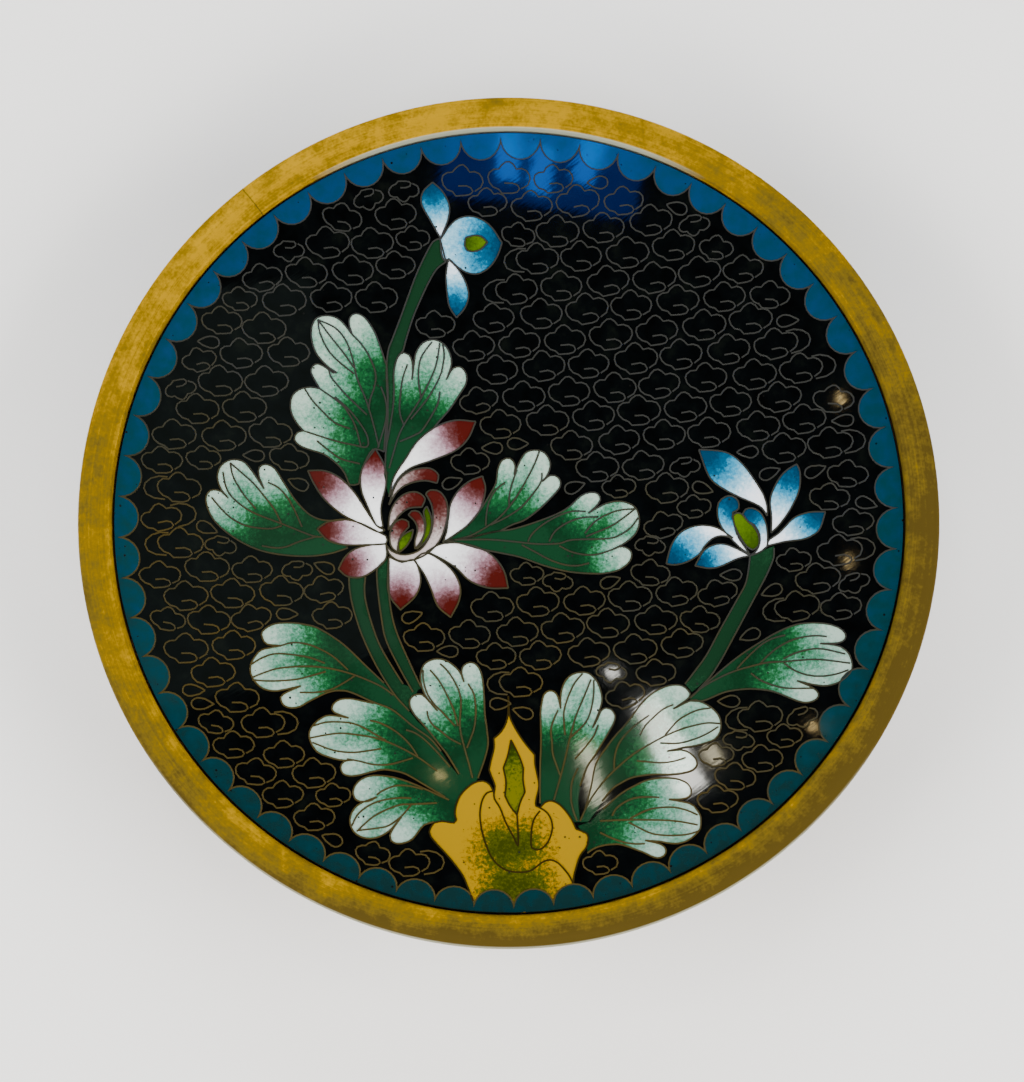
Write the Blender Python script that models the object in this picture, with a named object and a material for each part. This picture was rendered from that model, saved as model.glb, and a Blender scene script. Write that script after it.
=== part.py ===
"""Cloisonne trinket dish: a shallow spun copper bowl with enamel fused on both faces, a flat brass band
round its lip and a brass foot ring. Metres, +Z up, origin on the table under the middle of the dish."""

import math

import bmesh
import bpy

# Gap kept between pieces that touch in the real dish
SEAT_GAP = 0.0003

# Bowl: every layer is part of one set of concentric spheres
BOWL_CURVE = 0.140
ENAMEL_THICKNESS = 0.0007
COPPER_THICKNESS = 0.0009
BASE_CLEARANCE = 0.0020

# Brass band round the lip
RIM_RADIUS = 0.0575
RIM_WIDTH = 0.0043
RIM_STEP = 0.0014
RIM_SIDE = 0.0026
RIM_CROWN = 0.00025
RIM_EDGE_ROUND = 0.0004
RIM_SKIRT_WIDTH = 0.0010
LIP_TAPER = 0.0002

# Turned-out flange of the copper: how far out under the brass band it bends level
FLANGE_BEND_INSET = 0.0008

# Brass foot ring
FOOT_RADIUS = 0.0312
FOOT_WALL = 0.0020
FOOT_SPLAY = 0.0006
FOOT_EDGE_ROUND = 0.0003

# Scalloped turquoise border and the brass wire between it and the black ground
SCALLOPS = 60
BORDER_MARGIN = 0.0010
SCALLOP_PHASE = math.radians(1.6)
WIRE_THICKNESS = 0.0003

# Facets
TURNED_SEGMENTS = 44
RIM_SEGMENTS = 52
LAYER_FACET_WIDTH = 0.014
ROUND_STEPS = 2
LOBE_SEGMENTS = 4

# Depths below the enamel's upper face, each as a sphere's radius
GROUND_TOP = BOWL_CURVE
GROUND_UNDER = GROUND_TOP + ENAMEL_THICKNESS
COPPER_TOP = GROUND_UNDER + SEAT_GAP
COPPER_UNDER = COPPER_TOP + COPPER_THICKNESS
OUTER_TOP = COPPER_UNDER + SEAT_GAP
OUTER_UNDER = OUTER_TOP + ENAMEL_THICKNESS
CURVE_CENTRE_HEIGHT = BASE_CLEARANCE + OUTER_UNDER

# Places that follow from the sizes above
RIM_INNER = RIM_RADIUS - RIM_WIDTH
LIP_INNER = RIM_INNER - LIP_TAPER
ENAMEL_EDGE = LIP_INNER - SEAT_GAP
FLANGE_BEND_RADIUS = RIM_INNER + FLANGE_BEND_INSET
SCALLOP_CUSP_RADIUS = ENAMEL_EDGE - BORDER_MARGIN


def bowl_height(sphere, radius):
    """Height of one of the bowl's spheres at a distance from the dish's axis."""
    return CURVE_CENTRE_HEIGHT - math.sqrt(sphere**2 - radius**2)


DISH_TOP = bowl_height(GROUND_TOP, ENAMEL_EDGE) + RIM_STEP
FLANGE_TOP = bowl_height(COPPER_TOP, FLANGE_BEND_RADIUS)


def clear_scene():
    for thing in list(bpy.data.objects):
        bpy.data.objects.remove(thing)


def finish(name, colour, roughness, metallic):
    """A plain material: colour, roughness and metallic value."""
    material = bpy.data.materials.new(name)
    material.use_nodes = True
    shader = material.node_tree.nodes["Principled BSDF"]
    shader.inputs["Base Color"].default_value = (*colour, 1.0)
    shader.inputs["Roughness"].default_value = roughness
    shader.inputs["Metallic"].default_value = metallic
    return material


def mesh_object(name, mesh_edit, material):
    """A named object from a bmesh, with faces out, round faces smooth and its material on it."""
    bmesh.ops.remove_doubles(mesh_edit, verts=mesh_edit.verts, dist=1e-6)
    bmesh.ops.recalc_face_normals(mesh_edit, faces=mesh_edit.faces)
    if mesh_edit.calc_volume(signed=True) < 0:
        bmesh.ops.reverse_faces(mesh_edit, faces=mesh_edit.faces)
    mesh = bpy.data.meshes.new(name)
    mesh_edit.to_mesh(mesh)
    mesh_edit.free()
    mesh.shade_smooth()
    mesh.set_sharp_from_angle(angle=math.radians(35))
    thing = bpy.data.objects.new(name, mesh)
    if material:
        mesh.materials.append(material)
    bpy.context.scene.collection.objects.link(thing)
    return thing


def turned(name, section, segments, material):
    """Turns a section of (radius, height) points round the dish's axis. A section that starts on the axis is
    left open there."""
    mesh_edit = bmesh.new()
    points = [mesh_edit.verts.new((radius, 0.0, height)) for radius, height in section]
    ends = points[1:] if section[0][0] == 0.0 else points[1:] + points[:1]
    edges = [mesh_edit.edges.new(pair) for pair in zip(points, ends)]
    bmesh.ops.spin(
        mesh_edit,
        geom=points + edges,
        cent=(0, 0, 0),
        axis=(0, 0, 1),
        angle=math.tau,
        steps=segments,
        use_merge=True,
    )
    return mesh_object(name, mesh_edit, material)


def layer_faces(top, under, inner, outer):
    """Upper and lower line of a layer between two of the bowl's spheres, from one distance from the axis to
    another, both running outwards."""
    steps = max(1, round((outer - inner) / LAYER_FACET_WIDTH))
    radii = [inner + (outer - inner) * step / steps for step in range(steps + 1)]
    upper = [(radius, bowl_height(top, radius)) for radius in radii]
    lower = [(radius, bowl_height(under, radius)) for radius in radii]
    return upper, lower


def layer_section(top, under, inner, outer):
    """Closed section of a layer between two of the bowl's spheres."""
    upper, lower = layer_faces(top, under, inner, outer)
    return upper + lower[::-1]


def rounded_corner(centre, size, start, turn):
    """Points of a rounded corner: an arc of the given size about its centre, angles in degrees."""
    return [
        (
            centre[0] + size * math.cos(math.radians(start + turn * step / ROUND_STEPS)),
            centre[1] + size * math.sin(math.radians(start + turn * step / ROUND_STEPS)),
        )
        for step in range(ROUND_STEPS + 1)
    ]


def copper_section():
    """The spun bowl, with its edge turned out flat under the brass band."""
    upper, lower = layer_faces(COPPER_TOP, COPPER_UNDER, 0.0, FLANGE_BEND_RADIUS)
    flange_edge = RIM_RADIUS - RIM_SKIRT_WIDTH - SEAT_GAP
    flange = [
        (flange_edge, FLANGE_TOP),
        (flange_edge, FLANGE_TOP - COPPER_THICKNESS),
    ]
    return upper + flange + lower[::-1]


def rim_section():
    """The brass band: a slightly crowned top, a rounded outer edge, and an underside cut to seat on the copper."""
    shoulder = DISH_TOP - RIM_CROWN
    crown_radius = (RIM_INNER + RIM_RADIUS) / 2
    outer_round = rounded_corner(
        (RIM_RADIUS - RIM_EDGE_ROUND, shoulder - RIM_EDGE_ROUND), RIM_EDGE_ROUND, 90, -90
    )
    inner_round = rounded_corner(
        (RIM_INNER + RIM_EDGE_ROUND, shoulder - RIM_EDGE_ROUND), RIM_EDGE_ROUND, 180, -90
    )
    skirt_inner = RIM_RADIUS - RIM_SKIRT_WIDTH
    underside = [
        (RIM_RADIUS, DISH_TOP - RIM_SIDE),
        (skirt_inner, DISH_TOP - RIM_SIDE),
        (skirt_inner, FLANGE_TOP + SEAT_GAP),
        (FLANGE_BEND_RADIUS, FLANGE_TOP + SEAT_GAP),
        (LIP_INNER, bowl_height(COPPER_TOP - SEAT_GAP, LIP_INNER)),
    ]
    return [*inner_round, (crown_radius, DISH_TOP), *outer_round, *underside]


def foot_section():
    """The foot ring: a splayed wall with a rounded toe, its top cut to the curve of the copper above."""
    seat = COPPER_UNDER + SEAT_GAP
    top_outer = FOOT_RADIUS - FOOT_SPLAY
    inner = FOOT_RADIUS - FOOT_WALL
    toe = rounded_corner(
        (FOOT_RADIUS - FOOT_EDGE_ROUND, FOOT_EDGE_ROUND), FOOT_EDGE_ROUND, 0, -90
    )
    heel = rounded_corner((inner + FOOT_EDGE_ROUND, FOOT_EDGE_ROUND), FOOT_EDGE_ROUND, -90, -90)
    top = [(inner, bowl_height(seat, inner)), (top_outer, bowl_height(seat, top_outer))]
    return [*top, *toe, *heel]


def lobe_trim(lobe_radius, chord_radius, half_step):
    """Angle along a lobe at which a wide one meets its neighbour, on the line midway between them."""
    spare = lobe_radius**2 - (chord_radius * math.sin(half_step)) ** 2
    if spare <= 0:
        return 0.0
    meeting = chord_radius * math.cos(half_step) - math.sqrt(spare)
    return math.atan2(
        chord_radius - meeting * math.cos(half_step), meeting * math.sin(half_step)
    )


def scallop_ring(lobe_radius, beyond_cusps=0.0):
    """Plan points of the scalloped line: lobes of the given radius bulging towards the dish's middle. Wide lobes
    are trimmed where they meet, and narrow ones leave a short straight between them, moved out past the cusps."""
    step = math.tau / SCALLOPS
    chord_radius = SCALLOP_CUSP_RADIUS * math.cos(step / 2)
    trim = lobe_trim(lobe_radius, chord_radius, step / 2)
    points = []
    for lobe in range(SCALLOPS):
        angle = SCALLOP_PHASE + (lobe + 0.5) * step
        outward = (math.cos(angle), math.sin(angle))
        along = (-outward[1], outward[0])
        for part in range(LOBE_SEGMENTS + 1):
            turn = trim + (math.pi - 2 * trim) * part / LOBE_SEGMENTS
            side = -lobe_radius * math.cos(turn)
            reach = chord_radius - lobe_radius * math.sin(turn)
            if part in (0, LOBE_SEGMENTS):
                reach += beyond_cusps
            points.append(
                (
                    outward[0] * reach + along[0] * side,
                    outward[1] * reach + along[1] * side,
                )
            )
    return points


def scallop_lobe_radius():
    """Radius of a lobe whose wire touches its neighbour's at the cusp."""
    return SCALLOP_CUSP_RADIUS * math.sin(math.pi / SCALLOPS)


def on_sphere(mesh_edit, plan_points, sphere):
    """Vertices above or below the given plan points, on one of the bowl's spheres."""
    return [mesh_edit.verts.new((x, y, bowl_height(sphere, math.hypot(x, y)))) for x, y in plan_points]


def join_loops(mesh_edit, loops):
    """Faces between each loop of vertices and the next."""
    for loop, following in zip(loops, loops[1:]):
        for index in range(len(loop)):
            after = (index + 1) % len(loop)
            mesh_edit.faces.new((loop[index], loop[after], following[after], following[index]))


def ring_points(radius, angles):
    return [(radius * math.cos(angle), radius * math.sin(angle)) for angle in angles]


def border_wire(material):
    """The scalloped wire, standing on the copper between the black ground and the turquoise border."""
    lobe = scallop_lobe_radius()
    ground_side = scallop_ring(lobe + WIRE_THICKNESS / 2)
    border_side = scallop_ring(lobe - WIRE_THICKNESS / 2)
    seat = COPPER_TOP - SEAT_GAP
    mesh_edit = bmesh.new()
    loops = [
        on_sphere(mesh_edit, ground_side, GROUND_TOP),
        on_sphere(mesh_edit, border_side, GROUND_TOP),
        on_sphere(mesh_edit, border_side, seat),
        on_sphere(mesh_edit, ground_side, seat),
    ]
    join_loops(mesh_edit, loops + loops[:1])
    return mesh_object("border_wire", mesh_edit, material)


def border_enamel(material):
    """The turquoise border, from the scalloped wire out to the brass band."""
    inner = scallop_ring(scallop_lobe_radius() - WIRE_THICKNESS / 2 - SEAT_GAP, SEAT_GAP)
    outer = ring_points(ENAMEL_EDGE, [math.atan2(y, x) for x, y in inner])
    mesh_edit = bmesh.new()
    loops = [
        on_sphere(mesh_edit, inner, GROUND_TOP),
        on_sphere(mesh_edit, outer, GROUND_TOP),
        on_sphere(mesh_edit, outer, GROUND_UNDER),
        on_sphere(mesh_edit, inner, GROUND_UNDER),
    ]
    join_loops(mesh_edit, loops + loops[:1])
    return mesh_object("border_enamel", mesh_edit, material)


def ground_enamel(material):
    """The black ground: rings with one facet for each scallop, then a face out to each scallop's lobe."""
    lobe = scallop_lobe_radius() + WIRE_THICKNESS / 2 + SEAT_GAP
    outline = scallop_ring(lobe)
    lobe_points = LOBE_SEGMENTS + 1
    cusps = [SCALLOP_PHASE + scallop * math.tau / SCALLOPS for scallop in range(SCALLOPS)]
    last_ring = SCALLOP_CUSP_RADIUS - 2 * lobe
    rings = round(last_ring / LAYER_FACET_WIDTH)
    mesh_edit = bmesh.new()
    edges = []
    for sphere in (GROUND_TOP, GROUND_UNDER):
        middle, *_ = on_sphere(mesh_edit, [(0.0, 0.0)], sphere)
        loops = [
            on_sphere(mesh_edit, ring_points(last_ring * (ring + 1) / rings, cusps), sphere)
            for ring in range(rings)
        ]
        join_loops(mesh_edit, loops)
        edge = on_sphere(mesh_edit, outline, sphere)
        for scallop in range(SCALLOPS):
            after = (scallop + 1) % SCALLOPS
            mesh_edit.faces.new((middle, loops[0][scallop], loops[0][after]))
            lobe_edge = edge[scallop * lobe_points : (scallop + 1) * lobe_points]
            mesh_edit.faces.new((loops[-1][after], loops[-1][scallop], *lobe_edge))
        edges.append(edge)
    join_loops(mesh_edit, edges)
    return mesh_object("ground_enamel", mesh_edit, material)


def build():
    clear_scene()
    brass = finish("brass", (0.66, 0.45, 0.08), 0.35, 1.0)
    copper = finish("copper", (0.55, 0.27, 0.14), 0.4, 1.0)
    black = finish("black_enamel", (0.01, 0.012, 0.016), 0.08, 0.0)
    turquoise = finish("turquoise_enamel", (0.0, 0.14, 0.25), 0.1, 0.0)

    turned("copper_body", copper_section(), TURNED_SEGMENTS, copper)
    turned("rim_band", rim_section(), RIM_SEGMENTS, brass)
    turned("foot_ring", foot_section(), TURNED_SEGMENTS, brass)
    turned(
        "outer_enamel",
        layer_section(OUTER_TOP, OUTER_UNDER, FOOT_RADIUS + SEAT_GAP, LIP_INNER),
        TURNED_SEGMENTS,
        black,
    )
    turned(
        "base_enamel",
        layer_section(OUTER_TOP, OUTER_UNDER, 0.0, FOOT_RADIUS - FOOT_WALL - SEAT_GAP),
        TURNED_SEGMENTS,
        turquoise,
    )
    ground_enamel(black)
    border_enamel(turquoise)
    border_wire(brass)


build()
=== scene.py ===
"""Cloisonne trinket dish: its finish, its wires and its enamel cells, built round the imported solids."""

import math
import random

import bpy
import numpy as np
from mathutils import Matrix, Vector, geometry


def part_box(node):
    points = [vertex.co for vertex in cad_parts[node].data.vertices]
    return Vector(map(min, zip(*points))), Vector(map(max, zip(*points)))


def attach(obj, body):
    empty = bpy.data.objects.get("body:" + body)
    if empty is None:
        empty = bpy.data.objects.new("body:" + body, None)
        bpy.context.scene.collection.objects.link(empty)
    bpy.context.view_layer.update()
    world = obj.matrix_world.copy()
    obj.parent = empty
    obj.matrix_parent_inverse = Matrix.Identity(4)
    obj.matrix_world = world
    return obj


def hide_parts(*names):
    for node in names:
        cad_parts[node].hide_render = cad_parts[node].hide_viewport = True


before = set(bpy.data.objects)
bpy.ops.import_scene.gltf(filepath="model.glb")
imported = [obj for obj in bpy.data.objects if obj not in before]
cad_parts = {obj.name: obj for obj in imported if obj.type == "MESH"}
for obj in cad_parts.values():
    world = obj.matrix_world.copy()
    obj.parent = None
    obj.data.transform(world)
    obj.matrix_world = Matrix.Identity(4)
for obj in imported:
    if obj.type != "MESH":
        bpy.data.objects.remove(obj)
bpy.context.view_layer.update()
bpy.ops.object.select_all(action="DESELECT")

# Camera. The photograph looks down into the dish at arm's length, 8.5 degrees off its axis. It is taken from
# the side where the rock stands.
PHOTO_WIDTH, PHOTO_HEIGHT = 1024, 1082
VIEW_ELEVATION = math.radians(81.5)
VIEW_DISTANCE = 0.4005
LENS, SENSOR = 100.0, 36.0
VIEW_RIGHT_OF_DISH = 0.00044
VIEW_BELOW_DISH = 0.00366

view_right = Vector((1, 0, 0))
view_up = Vector((0, math.sin(VIEW_ELEVATION), math.cos(VIEW_ELEVATION)))
view_forward = view_right.cross(view_up) * -1
rim_low, rim_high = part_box("rim_band")
view_from = (
    Vector((0, 0, rim_high.z))
    - view_forward * VIEW_DISTANCE
    + view_right * VIEW_RIGHT_OF_DISH
    - view_up * VIEW_BELOW_DISH
)
bpy.ops.object.camera_add(location=view_from)
camera = bpy.context.object
camera.rotation_mode = "QUATERNION"
camera.rotation_quaternion = view_forward.to_track_quat("-Z", "Y")
camera.data.lens = LENS
camera.data.sensor_width = SENSOR
camera.data.clip_start = 0.01
bpy.context.scene.camera = camera

# Spun copper bowl. It carries the enamel on both faces, and shows only in the hairline joints beside the
# brass. Every layer of it is part of one set of concentric spheres, as in the solids.
BOWL_CURVE = 0.140
ENAMEL_THICKNESS = 0.0007
COPPER_THICKNESS = 0.0009
JOINT = 0.0003

ground_face = BOWL_CURVE
copper_face = ground_face + ENAMEL_THICKNESS + JOINT
outer_face = copper_face + COPPER_THICKNESS + JOINT + ENAMEL_THICKNESS
curve_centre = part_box("ground_enamel")[0].z + ENAMEL_THICKNESS + BOWL_CURVE


def bowl_height(sphere, radius):
    """Height of one of the bowl's spheres at a distance from the dish's axis."""
    return curve_centre - math.sqrt(sphere**2 - radius**2)


def new_material(name, colour, roughness, metallic=0.0):
    material = bpy.data.materials.new(name)
    material.use_nodes = True
    shader = material.node_tree.nodes["Principled BSDF"]
    shader.inputs["Base Color"].default_value = (*colour, 1.0)
    shader.inputs["Roughness"].default_value = roughness
    shader.inputs["Metallic"].default_value = metallic
    return material, material.node_tree, shader


def add_node(tree, kind, inputs=None, **settings):
    """A shader node with its settings made, and each input set to a value or linked to a socket."""
    made = tree.nodes.new(kind)
    for setting, value in settings.items():
        setattr(made, setting, value)
    for socket, value in (inputs or {}).items():
        if isinstance(value, bpy.types.NodeSocket):
            tree.links.new(value, made.inputs[socket])
        else:
            made.inputs[socket].default_value = value
    return made


def add_math(tree, operation, first, second=0.0, clamp=False):
    inputs = {0: first, 1: second}
    return add_node(tree, "ShaderNodeMath", inputs, operation=operation, use_clamp=clamp).outputs[0]


def add_noise(tree, place, scale, detail=3.0, roughness=0.5):
    inputs = {"Vector": place, "Scale": scale, "Detail": detail, "Roughness": roughness}
    return add_node(tree, "ShaderNodeTexNoise", inputs).outputs["Fac"]


def add_ramp(tree, fac, *stops):
    """A colour ramp from stops of (place, grey or colour)."""
    ramp = add_node(tree, "ShaderNodeValToRGB", {"Fac": fac})
    elements = ramp.color_ramp.elements
    while len(elements) < len(stops):
        elements.new(0.5)
    for element, (place, shade) in zip(elements, stops):
        colour = shade if isinstance(shade, tuple) else (shade,) * 3
        element.position = place
        element.color = (*colour, 1.0)
    return ramp.outputs["Color"]


def object_place(tree):
    return add_node(tree, "ShaderNodeTexCoord").outputs["Object"]


def copper_material():
    material, tree, shader = new_material("copper", (0.36, 0.17, 0.09), 0.45, 1.0)
    dull = add_noise(tree, object_place(tree), 260.0)
    colour = add_ramp(tree, dull, (0.3, (0.16, 0.07, 0.04)), (0.7, (0.45, 0.22, 0.12)))
    tree.links.new(colour, shader.inputs["Base Color"])
    return material


copper_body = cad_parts["copper_body"]
copper_body.material_slots[0].material = copper_material()

# Brass band round the lip. A flat turned ring with a slight crown, soldered over the copper's flange, brushed
# round and round and gone dull in patches.
RIM_WIDTH = 0.0043
RIM_CROWN = 0.00025
RIM_EDGE_ROUND = 0.0004
RIM_LIP_SLOPE = 0.0008
RIM_SEAM = math.radians(129)
SEAM_HALF_WIDTH = 0.00007
RIM_SKIRT_WIDTH = 0.0010
LIP_TAPER = 0.0002
FLANGE_BEND_INSET = 0.0008
RIM_TURNS = 256
CORNER_STEPS = 5
SHARP_CORNER = math.radians(35)
OUTER_SHADE_FROM = 0.0019
SHADED_SIDE_FROM = 0.02
LIT_INNER_LIMIT = -0.25
HIGHLIT_LIP_WIDTH = 0.0002
HIGHLIT_LIP_FROM = 0.0460
HIGHLIT_EDGE_WIDTH = 0.0003
HIGHLIT_EDGE_DEPTH = 0.0006
HIGHLIT_EDGE_FROM = -0.030

rim_radius = rim_high.x
rim_inner = rim_radius - RIM_WIDTH
flange_bend = rim_inner + FLANGE_BEND_INSET
flange_top = bowl_height(copper_face, flange_bend)


def rounded_corner(centre, size, start, turn):
    """Points of a rounded corner about its centre, angles in degrees."""
    angles = [math.radians(start + turn * step / CORNER_STEPS) for step in range(CORNER_STEPS + 1)]
    return [(centre[0] + size * math.cos(a), centre[1] + size * math.sin(a)) for a in angles]


def turned_piece(name, section, turns, material):
    """Spins a closed section of (radius, height) points round the dish's axis."""
    bpy.ops.mesh.primitive_circle_add(vertices=len(section), radius=0.01)
    piece = bpy.context.object
    piece.name = name
    for corner, (radius, height) in zip(piece.data.vertices, section):
        corner.co = (radius, 0, height)
    bpy.ops.object.mode_set(mode="EDIT")
    bpy.ops.mesh.select_all(action="SELECT")
    bpy.ops.mesh.spin(steps=turns, angle=math.tau, center=(0, 0, 0), axis=(0, 0, 1))
    bpy.ops.mesh.select_all(action="SELECT")
    bpy.ops.mesh.remove_doubles(threshold=1e-6)
    bpy.ops.mesh.delete_loose(use_verts=True, use_edges=True, use_faces=False)
    bpy.ops.mesh.select_all(action="SELECT")
    bpy.ops.mesh.normals_make_consistent(inside=False)
    bpy.ops.object.mode_set(mode="OBJECT")
    bpy.ops.object.shade_smooth_by_angle(angle=SHARP_CORNER)
    piece.data.materials.append(material)
    place_piece(piece)
    return piece


def place_piece(piece):
    """Leaves the piece at the origin, its place in its mesh, and riding on the dish."""
    bpy.ops.object.select_all(action="DESELECT")
    piece.select_set(True)
    bpy.context.view_layer.objects.active = piece
    bpy.ops.object.transform_apply(location=True, rotation=True, scale=True)
    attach(piece, "root")
    piece.select_set(False)


def turned_marks_group():
    """Marks on turned brass: brushed lines, tarnish in streaks and patches, a seam, painted shade on the
    right and near outer half, and pale painted highlights along the far lip and near outer edge.
    """
    tree = bpy.data.node_groups.new("turned_marks", "ShaderNodeTree")
    tree.interface.new_socket("Brush Scale", in_out="INPUT", socket_type="NodeSocketFloat")
    tree.interface.new_socket("Brushing", in_out="OUTPUT", socket_type="NodeSocketFloat")
    tree.interface.new_socket("Tarnish And Shade", in_out="OUTPUT", socket_type="NodeSocketFloat")
    tree.interface.new_socket("Painted Highlights", in_out="OUTPUT", socket_type="NodeSocketFloat")
    ends = add_node(tree, "NodeGroupInput")
    place = object_place(tree)
    split = add_node(tree, "ShaderNodeSeparateXYZ", {0: place})
    flat = add_node(tree, "ShaderNodeCombineXYZ", {0: split.outputs[0], 1: split.outputs[1]})
    radius = add_node(tree, "ShaderNodeVectorMath", {0: flat.outputs[0]}, operation="LENGTH")
    round_way = add_node(tree, "ShaderNodeVectorMath", {0: flat.outputs[0]}, operation="NORMALIZE")
    across = add_math(tree, "ADD", radius.outputs["Value"], split.outputs[2])
    across = add_math(tree, "MULTIPLY", across, ends.outputs["Brush Scale"])
    lift = add_node(tree, "ShaderNodeCombineXYZ", {2: across})
    along = add_node(tree, "ShaderNodeVectorMath", {0: round_way.outputs[0], "Scale": 4.0}, operation="SCALE")
    brushed = add_node(tree, "ShaderNodeVectorMath", {0: along.outputs[0], 1: lift.outputs[0]})
    brushing = add_noise(tree, brushed.outputs[0], 1.0, 4.0, 0.6)
    streaks = add_noise(tree, brushed.outputs[0], 0.25, 4.0, 0.7)
    seam_way = Vector((math.cos(RIM_SEAM), math.sin(RIM_SEAM), 0))
    seam_side = (-seam_way.y, seam_way.x, 0)
    beside = add_node(tree, "ShaderNodeVectorMath", {0: place, 1: seam_side}, operation="DOT_PRODUCT")
    seam = add_math(tree, "LESS_THAN", add_math(tree, "ABSOLUTE", beside.outputs["Value"]), SEAM_HALF_WIDTH)
    ahead = add_node(tree, "ShaderNodeVectorMath", {0: place, 1: seam_way}, operation="DOT_PRODUCT")
    seam = add_math(tree, "MULTIPLY", seam, add_math(tree, "GREATER_THAN", ahead.outputs["Value"], 0.0))
    # Each mark with its share of the tarnish and painted shade: the x term darkens the right side and the y
    # term lightens the far half, as painted shade and light. The last one sets how clean the brass is as a
    # whole.
    tarnish_and_shade_marks = [
        (add_noise(tree, place, 130.0, 2.0), 0.50),
        (add_noise(tree, place, 700.0, 2.0), 0.40),
        (add_noise(tree, place, 2600.0, 2.0), 0.30),
        (streaks, 0.45),
        (seam, 0.3),
        (split.outputs[0], 2.2),
        (add_math(tree, "MAXIMUM", split.outputs[1], 0.0), -5.0),
        (1.0, -0.195),
    ]
    # Painted shade: the outer half of the band darker on the near side, its inner half lighter.
    outwards = add_math(tree, "SUBTRACT", radius.outputs["Value"], rim_inner + OUTER_SHADE_FROM)
    shaded_outer_half = add_math(tree, "MAXIMUM", add_math(tree, "MULTIPLY", outwards, 130.0), LIT_INNER_LIMIT)
    nearer = add_math(tree, "SUBTRACT", SHADED_SIDE_FROM, split.outputs[1])
    near_side_shading = add_math(tree, "MULTIPLY", nearer, 12.0, clamp=True)
    tarnish_and_shade = add_math(tree, "MULTIPLY", shaded_outer_half, near_side_shading)
    for mark, share in tarnish_and_shade_marks:
        tarnish_and_shade = add_math(tree, "ADD", tarnish_and_shade, add_math(tree, "MULTIPLY", mark, share))
    # Painted highlights: a pale strip along the inner lip on the far side, and along the outer edge on the
    # near side.
    within = add_math(tree, "SUBTRACT", rim_inner + HIGHLIT_LIP_WIDTH, radius.outputs["Value"])
    lip = add_math(tree, "MULTIPLY", within, 8000.0, clamp=True)
    farther = add_math(tree, "SUBTRACT", split.outputs[1], HIGHLIT_LIP_FROM)
    far_lip_highlight = add_math(tree, "MULTIPLY", lip, add_math(tree, "MULTIPLY", farther, 250.0, clamp=True))
    beyond = add_math(tree, "SUBTRACT", radius.outputs["Value"], rim_radius - HIGHLIT_EDGE_WIDTH)
    edge = add_math(tree, "MULTIPLY", beyond, 8000.0, clamp=True)
    above = add_math(tree, "GREATER_THAN", split.outputs[2], rim_high.z - HIGHLIT_EDGE_DEPTH)
    nearer = add_math(tree, "SUBTRACT", HIGHLIT_EDGE_FROM, split.outputs[1])
    near_part = add_math(tree, "MULTIPLY", add_math(tree, "MULTIPLY", nearer, 60.0, clamp=True), 0.5)
    near_edge_highlight = add_math(tree, "MULTIPLY", add_math(tree, "MULTIPLY", edge, above), near_part)
    painted_highlights = add_math(tree, "MAXIMUM", far_lip_highlight, near_edge_highlight)
    marks = {"Brushing": brushing, "Tarnish And Shade": tarnish_and_shade, "Painted Highlights": painted_highlights}
    add_node(tree, "NodeGroupOutput", marks)
    return tree


turned_marks = turned_marks_group()


def aged_brass(name, tones, brush_scale):
    """Brass brushed round and round, its tone going from bright to brown as tarnish and painted shade add up,
    with pale painted highlights mixed in.
    """
    material, tree, shader = new_material(name, tones[0][1], 0.4, 0.5)
    shader.inputs["Specular IOR Level"].default_value = 0.0
    marks = add_node(tree, "ShaderNodeGroup", node_tree=turned_marks)
    marks.inputs["Brush Scale"].default_value = brush_scale
    tarnish_and_shade = marks.outputs["Tarnish And Shade"]
    colour = add_ramp(tree, tarnish_and_shade, *tones)
    roughness = add_ramp(tree, tarnish_and_shade, (0.4, 0.38), (0.65, 0.52))
    # Pale colour mixed in as painted highlights on the far lip and near outer edge.
    highlighted = add_node(tree, "ShaderNodeMix", {"Factor": marks.outputs["Painted Highlights"]}, data_type="RGBA")
    tree.links.new(colour, highlighted.inputs[6])
    highlighted.inputs[7].default_value = (0.46, 0.48, 0.36, 1.0)
    tree.links.new(highlighted.outputs[2], shader.inputs["Base Color"])
    tree.links.new(roughness, shader.inputs["Roughness"])
    bump = add_node(tree, "ShaderNodeBump", {"Height": marks.outputs["Brushing"], "Distance": 0.00004})
    bump.inputs["Strength"].default_value = 0.6
    tree.links.new(bump.outputs[0], shader.inputs["Normal"])
    return material


rim_shoulder = rim_high.z - RIM_CROWN - RIM_EDGE_ROUND
skirt_inner = rim_radius - RIM_SKIRT_WIDTH
flat_width = RIM_WIDTH - RIM_LIP_SLOPE - RIM_EDGE_ROUND
crown = [
    (rim_inner + RIM_LIP_SLOPE + share * flat_width, rim_high.z - RIM_CROWN * (2 * share - 1) ** 2)
    for share in (0.2, 0.35, 0.5, 0.65, 0.8)
]
lip_corner = rounded_corner((rim_inner + RIM_EDGE_ROUND, rim_shoulder), RIM_EDGE_ROUND, 180, -90)
lip = [
    (rim_inner + (RIM_LIP_SLOPE / RIM_EDGE_ROUND) * (radius - rim_inner), height)
    for radius, height in lip_corner
]
rim_section = [
    *lip,
    *crown,
    *rounded_corner((rim_radius - RIM_EDGE_ROUND, rim_shoulder), RIM_EDGE_ROUND, 90, -90),
    (rim_radius, rim_low.z),
    (skirt_inner, rim_low.z),
    (skirt_inner, flange_top + JOINT),
    (flange_bend, flange_top + JOINT),
    (rim_inner - LIP_TAPER, bowl_height(copper_face - JOINT, rim_inner - LIP_TAPER)),
]
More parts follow.
